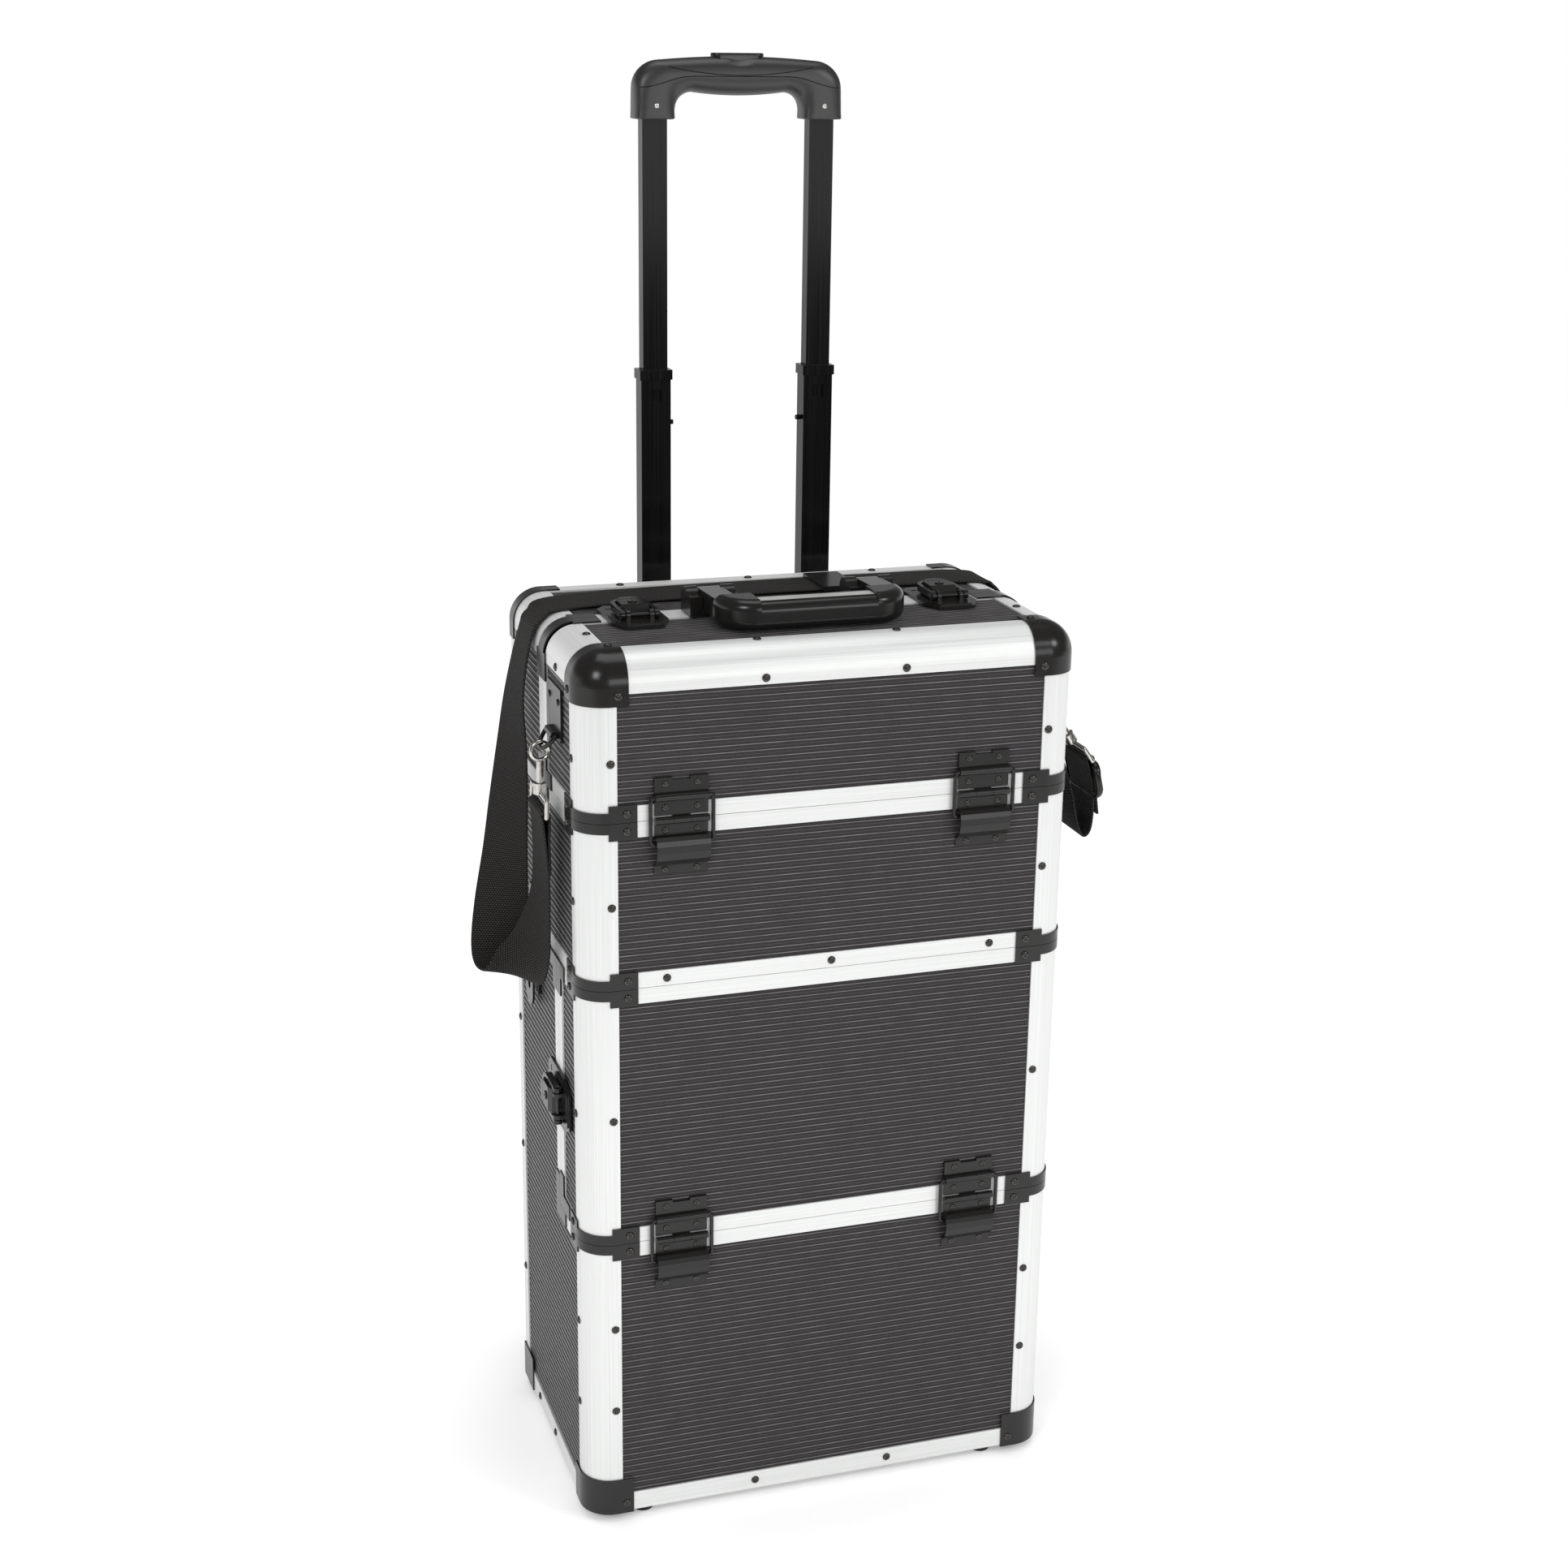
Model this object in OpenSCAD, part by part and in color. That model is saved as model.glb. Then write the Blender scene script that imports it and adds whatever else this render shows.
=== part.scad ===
// Two stacked aluminium-framed tool cases on a trolley, shown standing up.
// X runs across the front, Y runs to the back, Z is up, and the floor is Z = 0.
// Sizes are in millimetres. Inside the modules, Y = 0 is the front face and
// Z = 0 is the underside of the lower case; place() moves them to the floor frame.

/* [Case] */
// Width over the aluminium profiles
case_w = 400; // [360:1:460]
// Depth over the aluminium profiles
case_d = 235; // [225:1:270]
// Height of the lower case's tub, up to the door's hinge seam
tub_h = 243; // [200:1:300]
// Height of the lower case's front door
door_h = 215; // [190:1:260]
// Height of the upper case's tray, up to the lid's hinge seam
tray_h = 134; // [110:1:180]
// Height of the upper case's lid
lid_h = 128; // [110:1:170]
// Depth of the lower front door
door_d = 81; // [70:1:95]
// Depth of the upper lid
lid_d = 119; // [112:1:124]
// Thickness of the ribbed panels
panel_t = 5; // [4:0.5:7]

/* [Aluminium frame] */
// Outer radius of the round corner profiles
corner_r = 24; // [20:1:28]
// Reach of a corner profile's flange over the panel
flange_w = 29; // [27:1:34]
// Wall of every aluminium section
skin_t = 1.5; // [1:0.1:2]
// Height of one seam strip
strip_h = 12.5; // [11:0.5:15]
// Leg of the plain edge angles at the back
angle_w = 14; // [12:1:18]
// Height of the bottom edge strip
base_strip_h = 16; // [14:1:20]
// Gap between two parts that close on each other
seam_gap = 0.4; // [0.3:0.1:0.8]
// Clearance round a piece that sits in another
fit = 0.1; // [0.05:0.05:0.2]

/* [Black corners] */
// Wall of the ball corners and brackets
bracket_t = 1.3; // [1:0.1:2]
// Reach of a ball corner along each edge
ball_reach = 38; // [36:1:44]
// Reach of a seam bracket's ears along each face
ear_reach = 44; // [40:1:50]
// Height of a seam bracket's band round the corner
band_h = 8; // [6:0.5:11]
// Height of a seam bracket's ears
ear_h = 13.5; // [12:0.5:16]
// Height of the bottom caps
cap_h = 30; // [26:1:36]
// Width of the rear bottom caps on the back
rear_cap_w = 17; // [14:1:17]
// Diameter of a rivet head
rivet_d = 6.4; // [5:0.2:8]
// Height of a rivet head
rivet_h = 1.3; // [0.8:0.1:2]

/* [Stop hinges] */
// Distance of each hinge's middle from the case's side
hinge_in = 78; // [72:1:100]
// Width of a hinge leaf
leaf_w = 42; // [38:1:48]
// Distance of the knuckle axis in front of the case
knuckle_off = 3.2; // [3.1:0.1:3.6]
// Outer radius of the knuckles
knuckle_r = 3; // [2.6:0.1:3]
// Radius of the hinge pin
hinge_pin_r = 1.25; // [1:0.05:1.4]
// Diameter of the bail's wire
bail_wire = 3.2; // [2.8:0.1:3.4]
// Distance of each bail bar from the knuckle axis
bail_arm = 18; // [17:0.5:19]
// Width of the bail between its leg centres
bail_w = 48.8; // [47.6:0.2:54]
// Height of the lid leaf above the knuckle axis
leaf_h = 33; // [31:1:37]

/* [Locks] */
// Distance of each top lock's middle from the case's side
lock_in = 72; // [66:1:82]
// Height of the side locks above the door's seam
side_lock_z = 98; // [60:1:150]
// Width of a lock
lock_w = 46; // [42:1:52]
// Reach of a lock's base in front of the seam
lock_front = 41; // [38:1:46]
// Reach of a lock's keeper behind the seam
lock_back = 31; // [29:1:34]
// Thickness of the lock and keeper plates
lock_plate_t = 2.2; // [1.8:0.1:2.6]

/* [Side clasps] */
// Distance of the side clasps behind the front face
clasp_y = 165; // [150:1:185]
// Width of a clasp
clasp_w = 26; // [22:1:30]
// Distance of a clasp's hinge below the seam between the cases
clasp_drop = 20; // [17:1:24]
// Distance from a clasp's hinge to the stud
clasp_reach = 34; // [30:1:40]

/* [Carrying handle] */
// Distance of the handle's arms from the middle of the case
arm_x = 66; // [60:1:76]
// Width of an arm
arm_w = 19; // [16:1:22]
// Reach of the folded handle in front of its pivot
handle_reach = 80; // [74:1:84]
// Height of the grip bar when folded
handle_bar_h = 25; // [20:1:28]
// Depth of the grip bar from front to back
handle_bar_d = 22; // [18:1:26]
// Outer radius of the handle's corners, seen from above
handle_corner_r = 30; // [26:1:34]
// Height of the handle's pivot above the lid
handle_pivot_z = 12; // [11:0.5:14]

/* [Telescopic handle] */
// Distance of each tube from the middle of the case
tube_x = 70; // [60:1:85]
// Distance of the tubes' centre behind the case
tube_off = 34; // [28:1:40]
// Width of the fixed tubes
sleeve_w = 30; // [28:1:34]
// Depth of the fixed tubes
sleeve_d = 22; // [20:1:26]
// Width of the middle tubes
middle_w = 25; // [24:0.5:26]
// Depth of the middle tubes
middle_d = 17; // [16:0.5:18]
// Width of the inner tubes
inner_w = 20.5; // [19:0.5:21]
// Depth of the inner tubes
inner_d = 13; // [12:0.5:13.5]
// Wall of the tubes
tube_wall = 1.2; // [1:0.1:1.5]
// Height of the fixed tubes' top above the lower case
sleeve_rise = 232; // [200:1:250]
// Height of the middle tubes' top above the upper case
middle_rise = 170; // [150:1:190]
// Height of the grip's underside above the middle tubes' top
inner_rise = 198; // [150:1:220]
// Height of the grip
grip_h = 50; // [44:1:60]
// Depth of the grip
grip_d = 27; // [24:1:32]
// Thickness of the grip's bar in the middle
grip_bar = 32; // [29:1:34]
// Width of a grip leg
grip_leg_w = 33; // [28:1:36]

/* [Wheels and feet] */
// Diameter of the wheels
wheel_d = 80; // [76:1:84]
// Width of the wheels
wheel_w = 28; // [22:1:34]
// Distance from the case's side to the middle of a wheel
wheel_in = 44; // [43:1:50]
// Distance of the axle behind the case
axle_off = 44; // [43:1:50]
// Radius of the axle pins
axle_r = 4; // [3:0.5:5]
// Height of the rubber feet
foot_h = 9; // [7:1:14]
// Radius of the rubber feet
foot_r = 10; // [8:1:13]
// Distance of the feet behind the front face
foot_y = 17; // [15:1:20]
// Distance of the feet from the case's side
foot_in = 50; // [40:1:80]

/* [Shoulder strap] */
// Width of the webbing
strap_w = 45; // [38:1:50]
// Thickness of the webbing
strap_t = 2.2; // [1.8:0.1:2.6]

/* [Hidden] */
$fn = 48;

half_w = case_w / 2;
seam_door = tub_h;
seam_case = tub_h + door_h;
seam_lid = seam_case + tray_h;
top_z = seam_lid + lid_h;
half_gap = seam_gap / 2;
hinge_x = half_w - hinge_in;
lock_x = half_w - lock_in;
foot_x = half_w - foot_in;
// The strap lies midway between the top locks' keepers and the rear edge angle
strap_y = (lid_d + lock_back + case_d - angle_w) / 2;
// Depth of an edge section: skin, panel and inner lip
edge_t = 2 * skin_t + panel_t + fit;
// Distance of a panel's edge from a seam
panel_edge = half_gap + skin_t + fit;
// Level on which the walls stand, above the bottom panel
floor_z = skin_t + panel_t + fit;
// Inner end of the corner region that the brackets close
corner_end = flange_w + fit;
// Y of the case's front face in the floor frame
rear_reach = axle_off + wheel_d / 2;
front_reach = 9.6;
front_y = -(case_d + rear_reach - front_reach) / 2;
tube_y = case_d + tube_off;
axle_y = case_d + axle_off;
axle_z = wheel_d / 2 - foot_h;

aluminium = "gainsboro";
panel_black = "dimgray";
black = [0.13, 0.12, 0.12];
rubber = [0.08, 0.08, 0.08];

module place() {
    translate([0, front_y, foot_h]) children();
}

module both() {
    children();
    mirror([1, 0, 0]) children();
}

// A flat shape drawn in Y and Z, extruded from x0 to x1
module along_x(x0, x1) {
    translate([x0, 0, 0]) rotate([90, 0, 90]) linear_extrude(x1 - x0) children();
}

// A flat shape drawn in X and Z, extruded from y0 to y1
module along_y(y0, y1) {
    translate([0, y1, 0]) rotate([90, 0, 0]) linear_extrude(y1 - y0) children();
}

module box(low, high) {
    translate(low) cube(high - low);
}

/* Aluminium sections */

// Round corner profile: outer skin, two flanges, and a groove for each panel
module corner_section() {
    difference() {
        intersection() {
            translate([corner_r, corner_r]) circle(corner_r);
            square(corner_r);
        }
        translate([corner_r, corner_r]) circle(corner_r - skin_t);
    }
    for (turn = [0, 1])
        mirror([turn, -turn, 0]) {
            translate([corner_r, 0]) square([flange_w - corner_r, skin_t]);
            translate([corner_r - skin_t, skin_t / 2]) square([skin_t, edge_t - skin_t / 2]);
            translate([corner_r - skin_t, edge_t - skin_t])
                square([flange_w - corner_r + skin_t, skin_t]);
        }
}

module front_posts(z0, z1) {
    both() translate([-half_w, 0, z0]) linear_extrude(z1 - z0) corner_section();
}

module top_side_profiles(y0, y1) {
    both() along_y(y0, y1) translate([-half_w, top_z]) mirror([0, 1, 0]) corner_section();
}

// Channel that closes a panel's edge at a seam, drawn in Y and Z with the seam at zero
module rim_section() {
    square([skin_t, strip_h - half_gap]);
    square([edge_t, skin_t]);
    translate([edge_t - skin_t, 0]) square([skin_t, strip_h - half_gap]);
}

// Outline of a case's side below a stepped seam, held back by e along that seam
function stepped_side(y0, y1, z0, zs, ys, zt, e) = [
    [y0, z0], [y0, zs - e], [ys + e, zs - e], [ys + e, zt - e], [y1, zt - e], [y1, z0]
];

// Outline of a door's or lid's side, held back by e along its lower and rear seam
function cover_side(y0, ys, zs, zt, e) = [
    [y0, zs + e], [ys - e, zs + e], [ys - e, zt], [y0, zt]
];

module stepped_band(y0, y1, z0, zs, ys, zt, e0, e1) {
    difference() {
        polygon(stepped_side(y0, y1, z0, zs, ys, zt, e0));
        polygon(stepped_side(y0 - 1, y1 + 1, z0 - 1, zs, ys, zt, e1));
    }
}

module cover_band(y0, ys, zs, zt, e0, e1) {
    difference() {
        polygon(cover_side(y0, ys, zs, zt, e0));
        polygon(cover_side(y0 - 1, ys, zs, zt + 1, e1));
    }
}

module edge_angle(w) {
    square([w, skin_t]);
    square([skin_t, w]);
}

/* Black corner pieces */

// Plan of a round case corner at the origin, grown outwards by e and cut off at reach
module corner_plan(e, reach) {
    intersection() {
        translate([corner_r, corner_r]) circle(corner_r + e);
        translate([-e, -e]) square(corner_r + e + 0.01);
    }
    translate([corner_r, -e]) square([reach - corner_r, reach + e]);
    translate([-e, corner_r]) square([reach + e, reach - corner_r]);
}

module corner_wrap(reach) {
    difference() {
        corner_plan(bracket_t, reach);
        corner_plan(fit / 2, reach + 1);
    }
}

// Seam bracket: a band round the corner, two ears, and a plate over the profile's end
module seam_bracket(closed) {
    linear_extrude(band_h) corner_wrap(ear_reach);
    difference() {
        linear_extrude(ear_h) corner_wrap(ear_reach);
        translate([-2, -2, band_h]) cube([corner_r, corner_r, ear_h]);
    }
    linear_extrude(skin_t)
        difference() {
            corner_plan(0, flange_w);
            if (!closed) corner_plan(-edge_t, flange_w + 1);
        }
}

module seam_brackets(z, up, closed) {
    both() translate([-half_w, 0, z]) mirror([0, 0, up ? 0 : 1]) seam_bracket(closed);
}

// The same bracket on the top edge, with its band running along Y
module arch_brackets(y, back, closed) {
    both()
        translate([-half_w, y, top_z]) mirror([0, back ? 1 : 0, 0]) mirror([0, 0, 1])
            rotate([90, 0, 0]) seam_bracket(closed);
}

// A case corner rounded on its three edges, grown by e
module ball_block(e, reach) {
    r = corner_r + e;
    translate([corner_r, corner_r, corner_r]) {
        sphere(r);
        cylinder(r = r, h = reach - corner_r);
        rotate([0, 90, 0]) cylinder(r = r, h = reach - corner_r);
        rotate([-90, 0, 0]) cylinder(r = r, h = reach - corner_r);
    }
    box([corner_r, corner_r, -e], [reach, reach, reach]);
    box([corner_r, -e, corner_r], [reach, reach, reach]);
    box([-e, corner_r, corner_r], [reach, reach, reach]);
}

module ball_corner() {
    difference() {
        intersection() {
            ball_block(bracket_t, ball_reach);
            cube(2 * ball_reach, center = true);
        }
        ball_block(fit / 2, ball_reach + 1);
    }
}

module bottom_cap() {
    difference() {
        translate([0, 0, -bracket_t]) linear_extrude(cap_h + bracket_t)
            corner_plan(bracket_t, ball_reach);
        linear_extrude(cap_h + 1) corner_plan(fit / 2, ball_reach + 1);
    }
}

module rear_cap() {
    difference() {
        box([-bracket_t, -bracket_t, -bracket_t], [rear_cap_w, ball_reach - 6, cap_h]);
        box([-fit / 2, -fit / 2, -fit / 2], [rear_cap_w + 1, ball_reach, cap_h + 1]);
    }
}

module rivet() {
    cylinder(h = rivet_h, d1 = rivet_d, d2 = rivet_d * 0.62);
}

// A rivet on the front face
module front_rivet(x, z, y = 0) {
    translate([x, y, z]) rotate([90, 0, 0]) rivet();
}

// A rivet on each side face
module side_rivet(y, z, out = 0) {
    both() translate([-half_w - out, y, z]) rotate([0, -90, 0]) rivet();
}

module top_rivet(x, y, out = 0) {
    translate([x, y, top_z + out]) rivet();
}

module back_rivet(x, z) {
    translate([x, case_d, z]) rotate([-90, 0, 0]) rivet();
}

/* Panels */

panel_x = half_w - corner_r - fit;

module front_panel(z0, z1) {
    box([-panel_x, skin_t, z0], [panel_x, skin_t + panel_t, z1]);
}

module side_panel(points) {
    both() along_x(-half_w + skin_t, -half_w + skin_t + panel_t) polygon(points);
}

module back_panel(z0, z1, x_edge) {
    box([-x_edge, case_d - skin_t - panel_t, z0], [x_edge, case_d - skin_t, z1]);
}

// Outline of a flat bottom or top with round front corners, held back by e
module round_front_plan(e, y1) {
    r = corner_r - e;
    x = half_w - e;
    translate([-x, corner_r]) square([2 * x, y1 - corner_r]);
    translate([-x + r, e]) square([2 * (x - r), corner_r]);
    for (side = [-1, 1])
        translate([side * (x - r), corner_r]) circle(r);
}

side_back_y = case_d - skin_t - panel_t - fit;
back_x = half_w - skin_t - fit;

module tub_front_panel() {
    color(panel_black) place() front_panel(floor_z, seam_door - panel_edge);
}

module tub_side_panels() {
    color(panel_black) place()
        side_panel(stepped_side(corner_r + fit, side_back_y, floor_z,
            seam_door, door_d, seam_case, panel_edge));
}

module tub_back_panel() {
    color(panel_black) place() back_panel(floor_z, seam_case - panel_edge, back_x);
}

module tub_deck_panels() {
    color(panel_black) place() {
        translate([0, 0, skin_t]) linear_extrude(panel_t)
            round_front_plan(skin_t + fit, case_d - skin_t - fit);
        box([-half_w + edge_t, door_d + panel_edge, seam_case - panel_edge - panel_t],
            [half_w - edge_t, side_back_y, seam_case - panel_edge]);
    }
}

module door_front_panel() {
    color(panel_black) place() front_panel(seam_door + panel_edge, seam_case - panel_edge);
}

module door_side_panels() {
    color(panel_black) place()
        side_panel(cover_side(corner_r + fit, door_d, seam_door,
            seam_case - panel_edge, panel_edge));
}

module door_top_panel() {
    x = half_w - edge_t;
    color(panel_black) place()
        difference() {
            box([-x, edge_t, seam_case - panel_edge - panel_t],
                [x, door_d - panel_edge, seam_case - panel_edge]);
            both() box([-half_w - 1, -1, seam_case - strip_h],
                [-half_w + corner_end, corner_end, seam_case + 1]);
        }
}

module tray_front_panel() {
    color(panel_black) place() front_panel(seam_case + floor_z, seam_lid - panel_edge);
}

module tray_side_panels() {
    color(panel_black) place()
        side_panel(stepped_side(corner_r + fit, side_back_y, seam_case + floor_z,
            seam_lid, lid_d, top_z - corner_r - fit + panel_edge, panel_edge));
}

module tray_back_panel() {
    color(panel_black) place()
        intersection() {
            back_panel(seam_case + floor_z, top_z - skin_t - fit, back_x);
            along_y(0, case_d) arch_plan(skin_t + fit, 0);
        }
}

module tray_deck_panels() {
    color(panel_black) place() {
        translate([0, 0, seam_case + half_gap + skin_t]) linear_extrude(panel_t - half_gap)
            round_front_plan(skin_t + fit, case_d - skin_t - fit);
        box([-panel_x, lid_d + panel_edge, top_z - skin_t - panel_t],
            [panel_x, side_back_y, top_z - skin_t]);
    }
}

module lid_front_panel() {
    color(panel_black) place()
        front_panel(seam_lid + panel_edge, top_z - corner_r - fit);
}

module lid_side_panels() {
    color(panel_black) place()
        side_panel(cover_side(corner_r + fit, lid_d, seam_lid,
            top_z - corner_r - fit, panel_edge));
}

module lid_top_panel() {
    color(panel_black) place()
        box([-panel_x, corner_r + fit, top_z - skin_t - panel_t],
            [panel_x, lid_d - panel_edge, top_z - skin_t]);
}

// Front view of the case with its two round top corners, held back by e
module arch_plan(e, z0) {
    r = corner_r - e;
    x = half_w - e;
    translate([-x, z0]) square([2 * x, top_z - corner_r - z0]);
    translate([-x + r, z0]) square([2 * (x - r), top_z - e - z0]);
    for (side = [-1, 1])
        translate([side * (x - r), top_z - corner_r]) circle(r);
}

/* Frames */

module front_rim(z, up) {
    x = half_w - corner_end;
    translate([0, 0, z]) mirror([0, 0, up ? 0 : 1]) along_x(-x, x) rim_section();
}

// A flat ring of edge angle round the top or the bottom of a closed deck
module deck_ring(z, y0) {
    translate([0, 0, z]) linear_extrude(skin_t)
        difference() {
            translate([-half_w, y0]) square([case_w, case_d - y0]);
            translate([-half_w + strip_h, y0 + strip_h])
                square([case_w - 2 * strip_h, case_d - y0 - 2 * strip_h]);
        }
}

module back_posts(z0, z1) {
    both() translate([-half_w, case_d, z0]) mirror([0, 1, 0])
        linear_extrude(z1 - z0) edge_angle(angle_w);
}

module tub_frame() {
    y0 = corner_end;
    y1 = case_d;
    x_in = -half_w + edge_t;
    color(aluminium) place() {
        front_posts(floor_z, seam_door - half_gap - skin_t);
        front_rim(seam_door - half_gap, false);
        both() {
            along_x(-half_w, -half_w + skin_t)
                stepped_band(y0, y1, base_strip_h + fit, seam_door, door_d, seam_case,
                    half_gap, strip_h);
            along_x(x_in - skin_t, x_in)
                stepped_band(y0, door_d + strip_h, floor_z, seam_door, door_d,
                    seam_case - panel_edge - panel_t - fit, half_gap, strip_h);
            along_x(-half_w, x_in)
                stepped_band(y0, door_d + 1, floor_z, seam_door, door_d,
                    seam_case - panel_edge - panel_t - fit, half_gap, half_gap + skin_t);
        }
        deck_ring(seam_case - half_gap - skin_t, door_d + half_gap);
        box([-half_w, door_d + half_gap, seam_case - strip_h],
            [half_w, door_d + half_gap + skin_t, seam_case - half_gap]);
        box([-half_w, case_d - skin_t, seam_case - strip_h],
            [half_w, case_d, seam_case - half_gap]);
        back_posts(base_strip_h + fit, seam_case - half_gap);
        bottom_edges();
    }
}

module bottom_edges() {
    x = half_w - corner_end;
    along_x(-x, x) {
        square([skin_t, base_strip_h]);
        square([base_strip_h, skin_t]);
    }
    box([-half_w, case_d - skin_t, 0], [half_w, case_d, base_strip_h]);
    box([-half_w, case_d - base_strip_h, 0], [half_w, case_d, skin_t]);
    both() {
        box([-half_w, corner_end, 0], [-half_w + skin_t, case_d, base_strip_h]);
        box([-half_w, corner_end, 0], [-half_w + base_strip_h, case_d, skin_t]);
    }
}

module door_frame() {
    y0 = corner_end;
    y1 = door_d - half_gap;
    x_in = -half_w + edge_t;
    zt = seam_case - half_gap;
    deck_z = zt - skin_t;
    color(aluminium) place() {
        front_posts(seam_door + half_gap + skin_t, deck_z);
        front_rim(seam_door + half_gap, true);
        both() {
            along_x(-half_w, -half_w + skin_t)
                cover_band(y0, door_d, seam_door, zt, half_gap, strip_h);
            along_x(x_in - skin_t, x_in)
                cover_band(y0, door_d, seam_door, zt - panel_edge - panel_t, half_gap, strip_h);
            along_x(-half_w, x_in)
                cover_band(y0, door_d, seam_door, zt - panel_edge - panel_t,
                    half_gap, half_gap + skin_t);
            box([-half_w, y0, zt - strip_h], [-half_w + skin_t, y1, zt]);
            box([-half_w, y0, deck_z], [-half_w + strip_h, y1, zt]);
        }
        box([-half_w + corner_end, 0, zt - strip_h], [half_w - corner_end, skin_t, zt]);
        box([-half_w + corner_end, 0, deck_z], [half_w - corner_end, strip_h, zt]);
        box([-half_w, y1 - skin_t, zt - strip_h], [half_w, y1, zt]);
        box([-half_w, y1 - strip_h, deck_z], [half_w, y1, zt]);
    }
}

module tray_frame() {
    x_in = -half_w + edge_t;
    z_base = seam_case + half_gap;
    side_top = top_z - corner_end;
    x = half_w - corner_end;
    seam_y = lid_d + half_gap;
    color(aluminium) place() {
        front_posts(z_base + floor_z, seam_lid - half_gap - skin_t);
        top_side_profiles(lid_d + strip_h, side_back_y);
        front_rim(seam_lid - half_gap, false);
        both() {
            along_x(-half_w, -half_w + skin_t)
                tray_band(z_base + strip_h, half_gap, strip_h);
            box([-half_w, lid_d, seam_lid - strip_h],
                [-half_w + skin_t, case_d - angle_w - fit, seam_lid - half_gap]);
            along_x(x_in - skin_t, x_in) tray_band(z_base + floor_z, half_gap, strip_h);
            along_x(-half_w, x_in) tray_band(z_base + floor_z, half_gap, half_gap + skin_t);
        }
        // Strip across the top, behind the lid
        box([-x, seam_y, top_z - skin_t], [x, lid_d + strip_h, top_z]);
        box([-x, seam_y, top_z - edge_t], [x, seam_y + skin_t, top_z]);
        box([-x, seam_y, top_z - edge_t], [x, lid_d + strip_h, top_z - edge_t + skin_t]);
        // Edge angle along the back of the top, and the posts below it
        box([-x, case_d - angle_w, top_z - skin_t], [x, case_d, top_z]);
        box([-x, case_d - skin_t, top_z - angle_w], [x, case_d, top_z]);
        back_posts(z_base + strip_h + fit, side_top);
        tray_bottom_edges(z_base);
    }
}

// Edge strip along the stepped seam of the upper case's side, from z0 up
module tray_band(z0, e0, e1) {
    side_top = top_z - corner_end;
    intersection() {
        stepped_band(corner_end, lid_d + strip_h, z0, seam_lid, lid_d, top_z + 99, e0, e1);
        translate([0, z0]) square([case_d, side_top - z0]);
    }
}

module tray_bottom_edges(z0) {
    x = half_w - corner_end;
    along_x(-x, x) translate([0, z0]) {
        square([skin_t, strip_h]);
        square([strip_h, skin_t]);
    }
    box([-half_w, case_d - skin_t, z0], [half_w, case_d, z0 + strip_h]);
    box([-half_w, case_d - strip_h, z0], [half_w, case_d, z0 + skin_t]);
    both() {
        box([-half_w, corner_end, z0], [-half_w + skin_t, case_d, z0 + strip_h]);
        box([-half_w, corner_end, z0], [-half_w + strip_h, case_d, z0 + skin_t]);
    }
}

module lid_frame() {
    y0 = corner_end;
    x_in = -half_w + edge_t;
    side_top = top_z - corner_end;
    x = half_w - corner_end;
    seam_y = lid_d - half_gap;
    color(aluminium) place() {
        front_posts(seam_lid + half_gap + skin_t, side_top);
        top_side_profiles(corner_end, lid_d - strip_h);
        along_x(-x, x) translate([0, top_z]) mirror([0, 1, 0]) corner_section();
        front_rim(seam_lid + half_gap, true);
        both() {
            along_x(-half_w, -half_w + skin_t)
                cover_band(y0, lid_d, seam_lid, side_top, half_gap, strip_h);
            along_x(x_in - skin_t, x_in)
                cover_band(y0, lid_d, seam_lid, side_top, half_gap, strip_h);
            along_x(-half_w, x_in)
                cover_band(y0, lid_d, seam_lid, side_top, half_gap, half_gap + skin_t);
        }
        box([-x, lid_d - strip_h, top_z - skin_t], [x, seam_y, top_z]);
        box([-x, seam_y - skin_t, top_z - edge_t], [x, seam_y, top_z]);
        box([-x, lid_d - strip_h, top_z - edge_t], [x, seam_y, top_z - edge_t + skin_t]);
    }
}

/* Corner sets */

// Flat bracket over the inner corner of a stepped seam, on each side face
module step_brackets(points) {
    both() along_x(-half_w - bracket_t, -half_w) polygon(points);
}

module tub_corners() {
    y = door_d + half_gap;
    z = seam_door - half_gap;
    color(black) place() {
        seam_brackets(z, false, false);
        both() {
            translate([-half_w, 0, 0]) bottom_cap();
            translate([-half_w, case_d, 0]) mirror([0, 1, 0]) rear_cap();
        }
        step_brackets([[y - 18, z], [y - 18, z - strip_h], [y + strip_h, z - strip_h],
            [y + strip_h, z + 26], [y, z + 26], [y, z]]);
        step_brackets([[y, seam_case - 28], [y + strip_h, seam_case - 28],
            [y + strip_h, seam_case - strip_h], [y + 30, seam_case - strip_h],
            [y + 30, seam_case - half_gap], [y, seam_case - half_gap]]);
    }
}

module door_corners() {
    y = door_d - half_gap;
    z = seam_door + half_gap;
    zt = seam_case - half_gap;
    color(black) place() {
        seam_brackets(z, true, false);
        seam_brackets(zt, false, true);
        step_brackets([[y, z], [y, z + 30], [y - strip_h, z + 30], [y - strip_h, z + strip_h],
            [y - 32, z + strip_h], [y - 32, z]]);
        step_brackets([[y, zt], [y - 24, zt], [y - 24, zt - strip_h],
            [y - strip_h, zt - strip_h], [y - strip_h, zt - 28], [y, zt - 28]]);
    }
}

module tray_corners() {
    y = lid_d + half_gap;
    z = seam_lid - half_gap;
    color(black) place() {
        seam_brackets(seam_case + half_gap, true, true);
        seam_brackets(z, false, false);
        arch_brackets(y, true, false);
        rear_arch_corners();
        step_brackets([[y - 16, z], [y - 16, z - strip_h], [y + strip_h, z - strip_h],
            [y + strip_h, z + 12], [y + strip_h, z + 22], [y, z + 22], [y, z]]);
    }
}

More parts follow.
